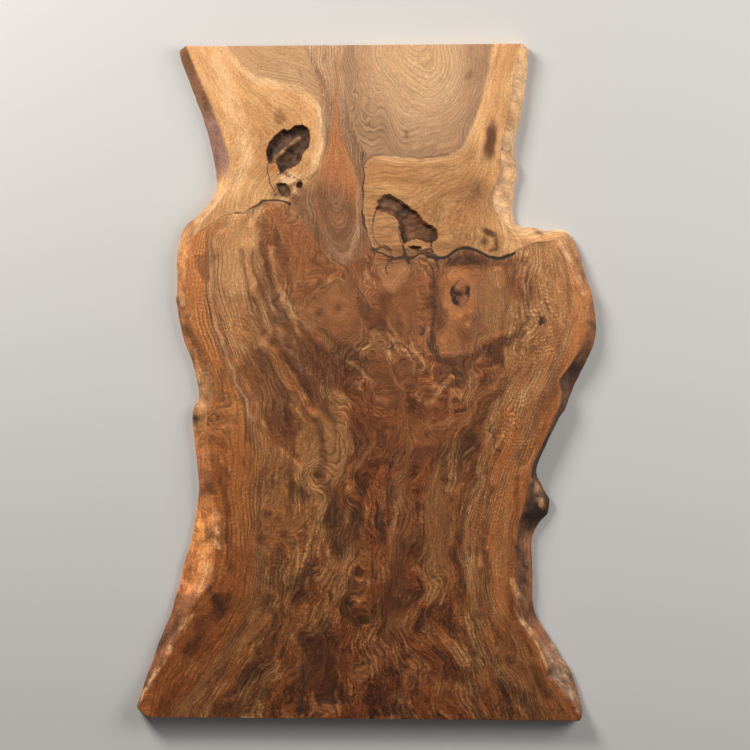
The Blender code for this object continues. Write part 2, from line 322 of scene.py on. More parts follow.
# A pocket is its depth and the points of its rim in millimetres.
POCKETS = (
    (19, (
        (-190, 695), (-171, 695), (-158, 688), (-152, 678), (-150, 662), (-152, 645), (-155, 629),
        (-166, 621), (-171, 613), (-174, 599), (-180, 591), (-190, 583), (-201, 577), (-212, 574),
        (-220, 567), (-231, 560), (-236, 572), (-242, 586), (-247, 591), (-258, 587), (-263, 589),
        (-269, 599), (-271, 613), (-271, 626), (-267, 640), (-261, 651), (-252, 662), (-242, 672),
        (-231, 680), (-223, 684), (-215, 680), (-209, 683), (-198, 691),
    )),
    (22, (
        (28, 491), (34, 499), (44, 505), (61, 509), (72, 505), (88, 494), (104, 483), (120, 471),
        (136, 460), (147, 451), (155, 437), (166, 428), (180, 422), (190, 413), (196, 402), (196, 389),
        (190, 381), (177, 375), (163, 375), (150, 381), (115, 378), (101, 371), (93, 389), (88, 413),
        (85, 437), (77, 444), (61, 451), (42, 456), (23, 467), (28, 478),
    )),
    (9, (
        (-244, 535), (-231, 540), (-215, 535), (-204, 521), (-204, 505), (-215, 497), (-228, 500),
        (-239, 516),
    )),
    (12, (
        (-190, 532), (-187, 540), (-180, 543), (-172, 540), (-169, 532), (-172, 524), (-180, 521),
        (-187, 524),
    )),
    (10, (
        (115, 366), (125, 369), (150, 366), (152, 360), (140, 356), (120, 356),
    )),
)
WALL_SLOPE = 2.2
# Size of the noise that frays the rims, its height and its two seeds, all in millimetres
RIM_FRAY = ((5, 1.1, (3.1, 8.7)), (13, 2.4, (5.3, 1.9)))
# The same for the bark on the floors, which stands at its full height from this depth down
FLOOR_NOISE = ((12, 3, 0.4), (3, 1, 7.7))
FLOOR_FROM = 8
RIM_LIFT = 3 * MM
POCKET_GRID = 2.4 * MM
# Sound wood and bark that stand up on the floors: x, y, radius, height
FLOOR_LUMPS = (
    (-190, 652, 9, 8), (-204, 642, 10, 11), (-218, 630, 11, 14), (-232, 617, 12, 13),
    (-246, 606, 10, 9), (-228, 628, 7, -4), (46, 482, 20, 11), (66, 474, 18, 9), (84, 462, 14, 6),
    (132, 384, 12, 9), (58, 490, 6, -5), (36, 474, 6, 5), (100, 452, 9, 4),
)


def edge_distance(points, line, closed=False):
    """Distance from each point to a line of corners, and the signed side that the point is on."""
    line = np.array(line, float)
    ends = np.roll(line, -1, axis=0) if closed else line[1:]
    nearest = np.full(len(points), np.inf)
    side = np.zeros(len(points))
    for start, end in zip(line if closed else line[:-1], ends):
        run = end - start
        along = np.clip((points - start) @ run / (run @ run), 0, 1)
        away = points - start - along[:, None] * run
        reach = np.hypot(away[:, 0], away[:, 1])
        hit = reach < nearest
        turn = run[0] * (points[:, 1] - start[1]) - run[1] * (points[:, 0] - start[0])
        side = np.where(hit, np.sign(turn), side)
        nearest = np.where(hit, reach, nearest)
    return nearest, side


def inside_distance(points, rim):
    """Distance from each point to a closed rim, negative outside it."""
    nearest, _ = edge_distance(points, rim, closed=True)
    rim = np.array(rim, float)
    crossed = np.zeros(len(points), bool)
    for (ax, ay), (bx, by) in zip(rim, np.roll(rim, -1, axis=0)):
        if ay != by:
            between = (ay > points[:, 1]) != (by > points[:, 1])
            crossed ^= between & (points[:, 0] < ax + (points[:, 1] - ay) * (bx - ax) / (by - ay))
    return np.where(crossed, nearest, -nearest)


def rough(points, scale, seed):
    """Smooth noise at each (x, y), about -0.5 to 0.5."""
    return np.array([noise.noise(Vector((x / scale, y / scale, seed))) for x, y in points])


def pocket_depth(points):
    """Depth of the pockets below the finished face, in millimetres, negative outside them."""
    frayed = points
    for scale, height, seeds in RIM_FRAY:
        frayed = frayed + np.column_stack([rough(points, scale, seed) for seed in seeds]) * height
    depth = np.full(len(points), -RIM_LIFT / MM)
    for deepest, rim in POCKETS:
        floor_depth = np.minimum(deepest, inside_distance(frayed, rim) * WALL_SLOPE)
        depth = np.maximum(depth, floor_depth)
    open_share = np.clip(depth / FLOOR_FROM, 0, 1)
    for x, y, radius, height in FLOOR_LUMPS:
        away = np.hypot(points[:, 0] - x, points[:, 1] - y) / radius
        depth = depth - height * np.exp(-away * away) * open_share
    bark = sum(rough(points, scale, seed) * height for scale, height, seed in FLOOR_NOISE)
    return depth + bark * open_share


def pocket_cutter(name, low, high):
    """A block over part of the finished face whose underside follows the pocket floors."""
    across = math.ceil((high[0] - low[0]) * MM / POCKET_GRID)
    along = math.ceil((high[1] - low[1]) * MM / POCKET_GRID)
    mesh = bmesh.new()
    bmesh.ops.create_grid(mesh, x_segments=across, y_segments=along, size=0.5)
    places = np.array([vert.co.xy for vert in mesh.verts]) + 0.5
    places = np.array(low) + places * (np.array(high) - low)
    for vert, place, depth in zip(mesh.verts, places, pocket_depth(places)):
        vert.co = (place[0] * MM, place[1] * MM, THICKNESS - depth * MM)
    lid = bmesh.ops.extrude_face_region(mesh, geom=mesh.faces[:])["geom"]
    for vert in (item for item in lid if isinstance(item, bmesh.types.BMVert)):
        vert.co.z = THICKNESS + 4 * RIM_LIFT
    bmesh.ops.recalc_face_normals(mesh, faces=mesh.faces)
    return new_object(name, mesh)


# Each fork's pockets are cut by one block, given by its low and high corners in millimetres
for low, high in (((-290, 490), (-140, 730)), ((10, 340), (215, 530))):
    cutter = pocket_cutter("pocket_cutter", low, high)
    cut = slab.modifiers.new("pocket", "BOOLEAN")
    cut.operation = "DIFFERENCE"
    cut.object = cutter
    evaluated = slab.evaluated_get(bpy.context.evaluated_depsgraph_get())
    cut_mesh = bpy.data.meshes.new_from_object(evaluated)
    slab.modifiers.clear()
    slab.data = cut_mesh
    bpy.data.objects.remove(cutter)
slab.data.name = "slab_wood"

# The figure of the wood, which goes through the whole thickness: pale sapwood and grey-brown heart
# in both limbs, a pointed flame of crotch figure between them, and a trunk that is banded at its
# sides and burled in its middle.

# It is laid out on a sheet of squares of this many millimetres. u counts to the right and v to the
# foot, and the slab's middle is at these two.
SQUARE = 2.7
MIDDLE_U, MIDDLE_V = 365.5, 382
TONES = {
    "cream": (0.80, 0.47, 0.235),
    "sapwood": (0.72, 0.385, 0.165),
    "honey": (0.52, 0.255, 0.10),
    "ash": (0.62, 0.365, 0.20),
    "dusk": (0.37, 0.20, 0.108),
    "flame": (0.47, 0.185, 0.07),
    "umber": (0.25, 0.115, 0.055),
    "tan": (0.46, 0.217, 0.087),
    "olive": (0.38, 0.176, 0.068),
    "rust": (0.52, 0.195, 0.062),
    "red": (0.30, 0.112, 0.042),
    "brown": (0.23, 0.088, 0.034),
    "walnut": (0.13, 0.048, 0.020),
    "black": (0.040, 0.017, 0.009),
    "grey": (0.32, 0.25, 0.19),
    "plum": (0.30, 0.15, 0.11),
    "gold": (0.54, 0.20, 0.058),
}

vertices = np.empty(len(slab.data.vertices) * 3)
slab.data.vertices.foreach_get("co", vertices)
vertices = vertices.reshape(-1, 3) / MM
u = MIDDLE_U + vertices[:, 0] / SQUARE
v = MIDDLE_V - vertices[:, 1] / SQUARE
sheet = np.column_stack((u, v))
below_face = THICKNESS / MM - vertices[:, 2]


def fade(value, low, high):
    """A smooth step from 0 at low to 1 at high."""
    share = np.clip((value - low) / (high - low), 0, 1)
    return share * share * (3 - 2 * share)


def wander(scale_u, scale_v, seed):
    """Smooth noise over the layout sheet, stretched to a size in squares each way."""
    return np.array([noise.noise(Vector((a / scale_u, b / scale_v, seed))) for a, b in sheet])


def curved(line):
    """A line with its corners cut twice, so that it bends as a crack does."""
    line = np.array(line, float)
    for _ in range(2):
        near, far = line[:-1] * 0.75 + line[1:] * 0.25, line[:-1] * 0.25 + line[1:] * 0.75
        line = np.vstack((line[:1], np.column_stack((near, far)).reshape(-1, 2), line[-1:]))
    return line


def oval_reach(du, dv, length, width, turn=0):
    """How far points lie from an oval's middle: 1 on its rim. The turn is in degrees."""
    cos, sin = math.cos(math.radians(turn)), math.sin(math.radians(turn))
    return np.hypot((du * cos + dv * sin) / length, (dv * cos - du * sin) / width)


# Noise at three sizes, two of each, and the sheet with its outlines made ragged by them
broad = wander(46, 46, 11.3), wander(46, 46, 27.9)
middling = wander(19, 24, 5.7), wander(19, 24, 42.1)
fine = wander(7, 9, 61.2), wander(7, 9, 83.6)
shaken, frizzed = np.column_stack(middling), np.column_stack(fine)
ragged = sheet + shaken * 2.5 + frizzed * 2

# The trunk's grain lines from its left arris to its right one, as u at each v
GRAIN_AT = (200, 240, 280, 320, 360, 400, 440, 480, 520, 560, 600, 640, 680, 718)
GRAIN = (
    (205, 187, 184, 187, 202, 208, 205, 210, 215, 215, 195, 173, 153, 150),
    (222, 206, 207, 213, 228, 248, 250, 246, 246, 250, 246, 222, 196, 168),
    (232, 214, 216, 225, 244, 262, 266, 266, 262, 262, 262, 236, 207, 180),
    (262, 259, 258, 272, 296, 322, 341, 335, 322, 312, 300, 288, 262, 240),
    (345, 345, 345, 345, 350, 355, 362, 366, 368, 370, 365, 350, 345, 345),
    (455, 470, 485, 485, 470, 455, 440, 425, 418, 420, 421, 425, 440, 450),
    (515, 520, 515, 505, 500, 500, 490, 470, 461, 461, 462, 475, 495, 505),
    (545, 550, 560, 568, 548, 530, 515, 500, 489, 483, 485, 510, 530, 545),
    (552, 556, 578, 584, 571, 560, 543, 529, 519, 515, 515, 538, 550, 579),
)
RINGS_AT_GRAIN = (0, 7, 12, 22, 33, 45, 56, 68, 77)
WILD_AT_GRAIN = (0.25, 0.3, 0.45, 0.9, 1.2, 1.1, 0.7, 0.35, 0.25)
TONE_AT_GRAIN = ("rust", "rust", "tan", "olive", "red", "red", "olive", "tan", "rust")
LINES = range(len(GRAIN))
# How far the corners of the grain lines are softened, in squares
SOFTENED = 18


def grain_coordinate(across, along):
    """Where a point lies between the grain lines, from 0 at the left arris to 8 at the right."""
    steps = np.arange(GRAIN_AT[0], GRAIN_AT[-1] + 1)
    soft = np.hanning(2 * SOFTENED + 1)
    soft /= soft.sum()
    lines = []
    for line in GRAIN:
        drawn = np.pad(np.interp(steps, GRAIN_AT, line), SOFTENED, mode="edge")
        lines.append(np.interp(along, steps, np.convolve(drawn, soft, mode="valid")))
    return sum(np.clip((across - a) / (b - a), 0, 1) for a, b in zip(lines, lines[1:]))


# How wildly the grain swings, which is least in two straight-grained places at the shoulders
wild = np.interp(grain_coordinate(u, v), LINES, WILD_AT_GRAIN)
wild *= np.interp(v, (200, 280, 420, 500, 718), (0.8, 1.1, 1, 0.5, 0.55))
for cu, cv, ru, rv in ((494, 300, 24, 42), (222, 262, 34, 70)):
    wild *= 1 - 0.75 * np.exp(-(((u - cu) / ru) ** 2) - ((v - cv) / rv) ** 2)
swept_u = u + wild * (broad[0] * 15 + middling[0] * 7 + fine[0] * 2.5)
swept_v = v + wild * (broad[1] * 16 + middling[1] * 8)
place = grain_coordinate(swept_u, swept_v)

# What the finish draws at each point: the ring it lies in and its place along the grain, and how
# strong the ring lines, the curl, the pale rings, the mottling and the look of bark are
figure = {
    "rings": np.interp(place, LINES, RINGS_AT_GRAIN) + wild * (middling[1] * 1.7 + fine[1] * 0.35),
    "along": v + broad[1] * 10,
    "line": np.interp(place, LINES, (0.45, 1.15, 1.0, 0.8, 0.8, 0.8, 0.9, 1.1, 0.45)),
    "curl": 0.12 + 0 * u,
    "pale": np.interp(place, LINES, (0.2, 1.0, 0.4, 0.2, 0.2, 0.2, 0.25, 0.4, 0.2)),
    "strength": np.interp(place, LINES, (0.45, 0.4, 0.5, 0.85, 1.0, 1.0, 0.8, 0.5, 0.45))
    * np.interp(v, (240, 400, 520, 718), (0.8, 1.0, 1.2, 1.5)),
    "bark": 0 * u,
}

# The trunk's colours: banded across the grain, and darker and redder towards the foot, partly the wood's
# own colour and partly painted shade where the light falls off towards the foot
trunk_tones = np.array([TONES[name] for name in TONE_AT_GRAIN])
colour = np.column_stack([np.interp(place, LINES, channel) for channel in trunk_tones.T])
SHADE_AT = (200, 300, 380, 450, 520, 600, 660, 718)
SHADE = (1.12, 0.98, 0.77, 0.65, 0.59, 0.50, 0.47, 0.43)
REDDEN = (1, 1.27, 1.6)


def darkened_and_shaded(tone, at):
    """A tone of the trunk as it is at one v: darker and redder towards the foot, partly the wood's own
    darkening and partly painted shade.
    """
    return np.array(TONES[tone]) * np.interp(at, SHADE_AT, SHADE) ** np.array(REDDEN)


def paint(tone, share, at=None):
    """Lays a share of one tone over the wood. Where its v on the trunk is given, the tone is darkened and
    reddened as the trunk is there, painted shade included.
    """
    laid = np.array(TONES[tone]) if at is None else darkened_and_shaded(tone, at)
    colour[:] += (laid - colour) * share[:, None]


# Painted shade together with the wood's own darkening: the trunk lighter at the head, darker and redder
# towards the foot
colour *= np.interp(v, SHADE_AT, SHADE)[:, None] ** np.array(REDDEN)

# The left shoulder: stripes and a smooth olive band under the seam, and red-brown wood between
# the band and the fork
RED_SHOULDER = (
    (261, 214), (262, 232), (259, 250), (262, 266), (270, 284), (284, 300), (300, 316), (322, 300),
    (332, 270), (318, 246), (302, 222), (288, 204),
)
smooth_band = fade(np.abs(u - 241), 21, 14) * fade(v, 300, 270)
stripe_u = np.interp(v, (216, 300, 360), (213, 211, 226))
stripes = fade(np.abs(u - stripe_u), 11, 6) * fade(v, 400, 330)
figure["line"] *= (1 - 0.75 * smooth_band) * (1 + 0.7 * stripes)
figure["pale"] = np.maximum(figure["pale"], 2.2 * stripes)
paint("red", 0.85 * fade(inside_distance(sheet + frizzed * 3, RED_SHOULDER), -1, 1))

# Fiddleback curl, strongest beside the two long edges: u, v, half width, half height, strength
CURLS = (
    (200, 300, 14, 110, 0.45), (226, 520, 14, 90, 0.45), (520, 590, 14, 80, 0.5), (545, 330, 26, 60, 0.8),
    (522, 420, 30, 60, 0.8), (490, 500, 26, 50, 0.6), (225, 330, 22, 50, 0.4), (240, 480, 20, 60, 0.4),
    (505, 590, 20, 60, 0.4), (275, 560, 26, 60, 0.4),
)
for cu, cv, ru, rv, strength in CURLS:
    reach = oval_reach(u - cu, v - cv, ru, rv)
    figure["curl"] = np.maximum(figure["curl"], strength * np.exp(-reach * reach))

# Where the trunk's figure is calm: u, v, half width, half height, share of the figure taken off
CALM = (
    (240, 262, 26, 44, 0.6), (300, 250, 30, 34, 0.4), (461, 304, 28, 40, 0.75), (338, 318, 34, 30, 0.7),
    (435, 530, 14, 66, 0.6), (240, 500, 14, 80, 0.4), (402, 300, 34, 40, 0.5), (318, 440, 22, 34, 0.5),
    (414, 438, 34, 26, 0.6), (400, 520, 14, 60, 0.5), (346, 530, 22, 30, 0.3), (395, 600, 20, 40, 0.5),
    (320, 668, 34, 34, 0.4), (494, 300, 22, 44, 0.6), (206, 280, 14, 60, 0.4), (282, 330, 26, 90, 0.45),
    (330, 450, 16, 60, 0.5), (440, 690, 46, 22, 0.4), (505, 550, 16, 80, 0.4),
)
for cu, cv, ru, rv, share in CALM:
    reach = oval_reach(u - cu, v - cv, ru, rv)
    for name in ("strength", "pale"):
        figure[name] *= 1 - share * fade(reach, 1.3, 0.6)

# Patches of the trunk, each with a broken pale hem: tone, strength, u, v, half length, half
# width, turn in degrees
PATCHES = (
    ("tan", 0.8, 236, 262, 46, 21, 90), ("sapwood", 0.25, 238, 262, 46, 20, 90),
    ("walnut", 0.45, 203, 256, 26, 5, 88), ("olive", 0.6, 250, 318, 30, 18, 60),
    ("umber", 0.6, 268, 288, 44, 12, 66), ("olive", 0.5, 272, 326, 26, 14, 40),
    ("walnut", 0.6, 372, 318, 26, 10, 70), ("walnut", 0.6, 388, 320, 34, 12, 84),
    ("red", 0.8, 416, 312, 40, 18, 84), ("rust", 0.6, 459, 300, 31, 20, 90),
    ("walnut", 0.7, 433, 310, 46, 6, 87), ("olive", 0.8, 490, 300, 40, 10, 88),
    ("brown", 0.8, 514, 280, 26, 12, 80), ("tan", 0.5, 543, 300, 52, 15, 80),
    ("gold", 0.45, 570, 285, 44, 9, 84), ("walnut", 0.5, 283, 262, 40, 5, 76),
    ("walnut", 0.5, 272, 380, 52, 7, 58), ("brown", 0.5, 370, 366, 50, 30, 10),
    ("walnut", 0.75, 348, 372, 60, 22, 30), ("walnut", 0.6, 300, 380, 56, 12, 55),
    ("walnut", 0.75, 478, 356, 50, 11, 154), ("brown", 0.7, 400, 410, 66, 34, 84),
    ("brown", 0.7, 268, 400, 60, 12, 62), ("tan", 0.9, 314, 442, 40, 20, 78),
    ("walnut", 0.7, 292, 424, 26, 5, 80), ("walnut", 0.6, 480, 430, 60, 12, 112),
    ("tan", 0.6, 520, 400, 66, 10, 106), ("walnut", 0.6, 362, 460, 40, 12, 85),
    ("walnut", 0.5, 440, 470, 30, 12, 90), ("tan", 0.85, 435, 536, 68, 14, 91),
    ("walnut", 0.75, 346, 530, 36, 20, 90), ("red", 0.5, 400, 530, 60, 9, 94),
    ("tan", 0.5, 304, 530, 34, 14, 88), ("tan", 0.5, 272, 526, 24, 10, 90),
    ("walnut", 0.5, 306, 590, 26, 16, 88), ("olive", 0.6, 360, 600, 42, 14, 96),
    ("olive", 0.5, 270, 610, 46, 14, 104), ("walnut", 0.6, 318, 662, 44, 16, 80),
    ("walnut", 0.6, 236, 474, 28, 6, 95), ("gold", 0.8, 504, 556, 84, 15, 93),
    ("tan", 0.5, 472, 560, 80, 9, 90), ("gold", 0.8, 499, 552, 80, 11, 93),
    ("tan", 0.6, 434, 690, 46, 16, 6), ("rust", 0.6, 474, 700, 30, 8, 10),
    ("tan", 0.5, 240, 640, 30, 12, 120), ("walnut", 0.6, 216, 604, 16, 10, 110),
    ("rust", 0.6, 232, 680, 36, 7, 126), ("rust", 0.7, 424, 698, 15, 12, 0),
    ("walnut", 0.6, 402, 600, 46, 16, 84), ("tan", 0.8, 420, 634, 34, 10, 24),
    ("tan", 0.45, 478, 656, 46, 12, 52), ("tan", 0.5, 258, 638, 34, 16, 110),
    ("walnut", 0.5, 384, 690, 26, 20, 90), ("rust", 0.5, 534, 636, 46, 9, 64),
    ("walnut", 0.5, 540, 682, 22, 10, 60), ("black", 0.5, 302, 692, 26, 4, 90),
    ("walnut", 0.5, 250, 690, 40, 16, 120), ("olive", 0.5, 180, 700, 26, 7, 130),
    ("rust", 0.6, 225, 430, 40, 12, 88), ("rust", 0.5, 232, 540, 60, 12, 90),
    ("walnut", 0.5, 520, 700, 30, 8, 40), ("rust", 0.5, 290, 700, 16, 10, 90),
    ("brown", 0.6, 363, 430, 50, 18, 88), ("rust", 0.35, 410, 430, 22, 20, 0),
    ("walnut", 0.6, 302, 492, 17, 9, 10), ("tan", 0.6, 347, 515, 12, 4, 100),
    ("black", 0.6, 380, 523, 22, 3.5, 90), ("walnut", 0.55, 281, 568, 24, 10, 90),
    ("tan", 0.55, 306, 545, 15, 9, 90), ("olive", 0.6, 362, 566, 20, 18, 60),
    ("sapwood", 0.5, 499, 552, 80, 10, 93), ("walnut", 0.6, 290, 352, 52, 13, 55),
    ("sapwood", 0.3, 255, 640, 34, 14, 115), ("sapwood", 0.35, 230, 405, 34, 10, 86),
    ("sapwood", 0.2, 314, 440, 38, 18, 78), ("brown", 0.3, 545, 350, 80, 14, 80),
)
for tone, strength, cu, cv, length, width, turn in PATCHES:
    du = ragged[:, 0] - cu + broad[0] * 8 + middling[1] * 8 + fine[1] * 5
    dv = ragged[:, 1] - cv + broad[1] * 8 + middling[0] * 10 + fine[0] * 6
    reach = oval_reach(du, dv, length, width, turn)
    paint(tone, strength * fade(reach, 1.12, 0.75), cv)
    hem = np.exp(-(((reach - 1) * width - 2) / 1.7) ** 2) * np.clip(0.4 + fine[0] * 1.6, 0, 1)
    colour *= (1 + hem * strength * 0.4)[:, None]

# Islands of calm wood round knots, with the grain parted about them in close lines:
# tone, share, u, v, half width, half height, turn in degrees, lines in the collar
ISLANDS = (
    ("red", 0.6, 337, 305, 19, 27, 4, 5), ("brown", 0.6, 351, 270, 8, 26, 4, 3),
    ("sapwood", 0.3, 396, 272, 17, 14, 20, 5), ("brown", 0.5, 398, 315, 12, 17, -8, 4),
    ("flame", 0.6, 461, 299, 19, 24, 4, 5), ("flame", 0.5, 449, 338, 10, 20, 12, 4),
    ("red", 0.5, 420, 334, 8, 13, 0, 4), ("red", 0.5, 403, 364, 8, 10, 0, 5),
    ("red", 0.5, 408, 387, 8, 8, 0, 4), ("red", 0.4, 431, 398, 11, 10, -20, 5),
    ("walnut", 0.5, 380, 368, 13, 11, 10, 4), ("brown", 0.4, 384, 394, 12, 9, 0, 4),
    ("tan", 0.5, 274, 336, 12, 10, 0, 4),
)
for tone, share, cu, cv, ru, rv, turn, lines in ISLANDS:
    loose = min(ru, rv)
    du = u - cu + middling[0] * (2 + 0.7 * loose) + fine[0] * 3
    dv = v - cv + middling[1] * (2 + 0.7 * loose) + broad[1] * 0.6 * loose + fine[1] * 3
    reach = oval_reach(du, dv, ru, rv, turn)
    inside, collar = fade(reach, 1.08, 0.88), fade(reach, 1.7, 1.15)
    level = np.average(figure["rings"], weights=collar * (1 - inside) + 1e-9)
    parted = level + (reach - 1.3) * lines * 1.6
    figure["rings"] += (parted - figure["rings"]) * collar
    figure["line"] *= 1 - 0.85 * inside
    figure["strength"] *= 1 - 0.3 * collar - 0.2 * inside
    figure["pale"] = np.maximum(figure["pale"] * (1 - inside), 0.8 * collar * (1 - inside))
    paint(tone, share * fade(reach, 1.3, 0.55) * np.clip(0.85 + middling[1] * 1.1, 0, 1), cv)
    colour *= (1 - 0.12 * collar * (1 - inside))[:, None]

# Streaks of dark and pale wood: tone, strength, half width in squares, then the corners of the line
STREAKS = (
    ("walnut", 0.7, 3, (262, 245), (268, 280), (284, 318), (306, 356), (330, 400), (338, 430)),
    ("walnut", 0.6, 2, (274, 262), (284, 296), (300, 330), (322, 362)),
    ("umber", 0.8, 2, (254, 270), (262, 305), (280, 340), (300, 372)),
    ("tan", 0.7, 2, (270, 250), (278, 290), (294, 322)),
    ("walnut", 0.5, 3, (318, 330), (340, 345), (370, 352), (392, 345)),
    ("walnut", 0.5, 2, (322, 350), (350, 365), (385, 375)),
    ("black", 0.6, 2.2, (436, 268), (431, 290), (435, 322), (430, 346), (441, 364), (456, 362)),
    ("umber", 0.7, 4, (478, 282), (479, 310), (474, 340), (458, 356)),
    ("walnut", 0.6, 3, (250, 256), (260, 292), (274, 330)),
    ("walnut", 0.6, 2.5, (240, 250), (248, 290), (262, 334)),
    ("tan", 0.6, 2.5, (245, 250), (254, 290), (268, 330)),
    ("walnut", 0.6, 3, (262, 352), (282, 386), (312, 420)),
    ("walnut", 0.5, 2.5, (282, 350), (306, 386), (334, 414)),
    ("rust", 0.5, 3, (272, 352), (294, 388), (322, 420)),
    ("walnut", 0.5, 2.5, (222, 372), (226, 398), (228, 430)),
    ("walnut", 0.5, 2.5, (238, 366), (246, 400), (250, 440)),
    ("walnut", 0.5, 3, (222, 470), (228, 520), (226, 570)),
    ("gold", 0.6, 3, (214, 470), (220, 530), (220, 580)),
    ("gold", 0.8, 6, (228, 390), (236, 420), (238, 480), (238, 540)),
    ("gold", 0.5, 4, (552, 330), (544, 400), (524, 470)),
    ("brown", 0.5, 5, (556, 370), (538, 420), (522, 460)),
    ("rust", 0.9, 9, (510, 420), (502, 490), (498, 550), (502, 606)),
    ("sapwood", 0.25, 7, (504, 480), (497, 550), (502, 600)),
    ("brown", 0.6, 2, (487, 470), (486, 540), (488, 610)),
    ("brown", 0.6, 3, (560, 330), (550, 380), (536, 430)),
    ("brown", 0.5, 2, (519, 480), (508, 550), (512, 620)),
    ("walnut", 0.6, 4, (426, 356), (455, 362), (490, 350), (520, 330)),
    ("walnut", 0.5, 3, (424, 372), (460, 376), (500, 360)),
    ("tan", 0.5, 3, (470, 350), (490, 335), (512, 322)),
    ("walnut", 0.6, 3, (316, 420), (326, 450), (320, 478), (332, 500)),
    ("walnut", 0.5, 3, (352, 430), (360, 470), (356, 510)),
    ("tan", 0.5, 4, (336, 400), (344, 440), (340, 480)),
    ("walnut", 0.5, 3, (384, 440), (390, 490), (384, 540)),
    ("tan", 0.6, 2, (404, 470), (398, 500), (392, 540)),
    ("walnut", 0.5, 5, (398, 540), (392, 590), (386, 640)),
    ("walnut", 0.6, 4, (330, 640), (334, 670), (322, 700)),
    ("walnut", 0.5, 4, (376, 650), (392, 668), (388, 700)),
    ("tan", 0.5, 3, (392, 618), (414, 612), (440, 632), (462, 656), (490, 690)),
    ("umber", 0.5, 4, (440, 618), (470, 640), (500, 670), (512, 700)),
    ("walnut", 0.5, 4, (268, 600), (280, 640), (260, 668)),
    ("umber", 0.7, 1.5, (257, 470), (258, 540), (257, 600), (230, 642)),
    ("cream", 0.5, 1, (209, 240), (211, 300), (222, 350), (252, 420)),
    ("umber", 0.7, 1.4, (206, 240), (206, 290), (214, 340), (244, 400), (258, 450)),
    ("umber", 0.6, 1.4, (212, 236), (214, 300), (226, 350), (256, 410)),
    ("walnut", 0.5, 3, (484, 440), (462, 500), (456, 560), (458, 600)),
    ("tan", 0.5, 4, (496, 400), (478, 470), (470, 530), (470, 590)),
    ("walnut", 0.5, 3, (524, 262), (530, 300), (518, 350)),
    ("tan", 0.6, 4, (548, 262), (556, 300), (546, 350), (524, 400)),
    ("umber", 0.6, 2, (560, 250), (570, 300), (560, 350), (540, 400), (512, 460)),
    ("walnut", 0.5, 2, (504, 262), (508, 300), (500, 330)),
    ("walnut", 0.6, 5, (222, 592), (206, 622), (190, 650)),
    ("umber", 0.5, 3, (300, 520), (312, 540), (308, 580)),
    ("tan", 0.5, 5, (292, 500), (300, 530), (318, 548)),
    ("honey", 0.7, 0.8, (356, 350), (368, 349), (370, 337), (382, 332), (392, 336), (398, 350)),
    ("honey", 0.7, 0.8, (385, 318), (392, 330), (400, 342), (410, 356), (412, 372)),
    ("honey", 0.7, 0.8, (390, 345), (390, 368), (398, 384), (402, 390)),
    ("honey", 0.8, 1, (424, 404), (434, 402), (438, 390), (450, 378)),
    ("honey", 0.6, 0.8, (350, 362), (362, 370), (372, 382), (378, 398)),
)
bent = sheet + shaken * 4 + frizzed * (2.4, 0)
for tone, strength, half_width, *line in STREAKS:
    reach, _ = edge_distance(bent, curved(line))
    wide = half_width * (1 + broad[0] * 1.1 + middling[1] * 0.8)
    paint(tone, strength * fade(reach, wide + 2.2, wide - 0.8), line[0][1])

# Small knots and the eyes of buried shoots: u, v, half width, half height, rings round it, darkness
EYES = (
    (460, 293, 15, 20, 3, 0.2), (337, 307, 9, 9, 3, 0.5), (318, 312, 7, 8, 3, 0.5),
    (273, 339, 8, 10, 3, 0.5), (421, 331, 7, 8, 3, 0.4), (403, 363, 9, 10, 4, 0.3),
    (409, 386, 9, 8, 3, 0.6), (428, 392, 11, 9, 4, 0.4), (397, 314, 6, 6, 2, 0.3),
    (422, 290, 8, 8, 3, 0.2), (267, 514, 6, 7, 3, 0.5), (260, 538, 8, 6, 3, 0.3),
    (285, 534, 9, 6, 3, 0.2), (348, 498, 7, 9, 3, 0.4), (356, 572, 8, 8, 4, 0.5),
    (348, 603, 9, 11, 3, 0.9), (314, 474, 14, 12, 5, 0.3), (354, 474, 7, 9, 3, 0.4),
    (426, 434, 10, 9, 4, 0.4), (510, 660, 9, 7, 3, 0.4), (213, 418, 14, 13, 4, 0.2),
    (420, 630, 26, 16, 4, 0.2), (374, 392, 12, 9, 3, 0.3), (444, 700, 26, 18, 3, 0.2),
    (376, 360, 14, 9, 3, 0.3), (512, 280, 12, 20, 3, 0.3), (300, 640, 14, 12, 3, 0.3),
    (400, 560, 10, 30, 2, 0.1),
)
for cu, cv, ru, rv, turns, darkness in EYES:
    reach = oval_reach(u - cu + fine[0] * 3, v - cv + fine[1] * 3, ru, rv)
    figure["rings"] += turns * np.exp(-reach * reach * 0.7)
    halo = np.exp(-(reach / 1.3) ** 2)
    core = np.exp(-(reach / 0.4) ** 2)
    colour += (darkened_and_shaded("red", cv) * 1.1 - colour) * (0.4 * halo)[:, None]
    hem = np.exp(-(((reach - 1.1) / 0.25) ** 2)) * np.clip(0.5 + middling[0] + fine[0] * 1.4, 0, 1)
    colour *= (1 - darkness * core + hem * 0.35)[:, None]

# The largest knot's core, crazed and darker than the wood round it
core = oval_reach(u - 460 + fine[0] * 2, v - 294 + fine[1] * 2, 9, 12)
paint("black", np.clip(0.42 + fine[0] * 0.6, 0, 1) * fade(core, 1.15, 0.9))
figure["bark"] = np.maximum(figure["bark"], 0.9 * fade(core, 1.15, 0.85))
figure["line"] *= 1 - fade(core, 1.1, 0.8)

# The two limbs. Two zones share each of these four borders, given from the head down.
LEFT_HEART_BORDER = (
    (222, 20), (223, 42), (232, 55), (245, 67), (255, 75), (270, 79), (285, 83), (300, 87), (312, 95),
)
LEFT_FORK_BORDER = (
    (320, 108), (323, 130), (322, 150), (318, 166), (311, 179), (300, 190),
)
RIGHT_HEART_BORDER = (
    (492, 20), (492, 40), (489, 60), (485, 80), (481, 100), (472, 125), (462, 148), (450, 155),
    (430, 158), (400, 157), (385, 155), (368, 156),
)
RIGHT_FORK_BORDER = (
    (364, 170), (361, 200), (363, 222), (368, 240),
)
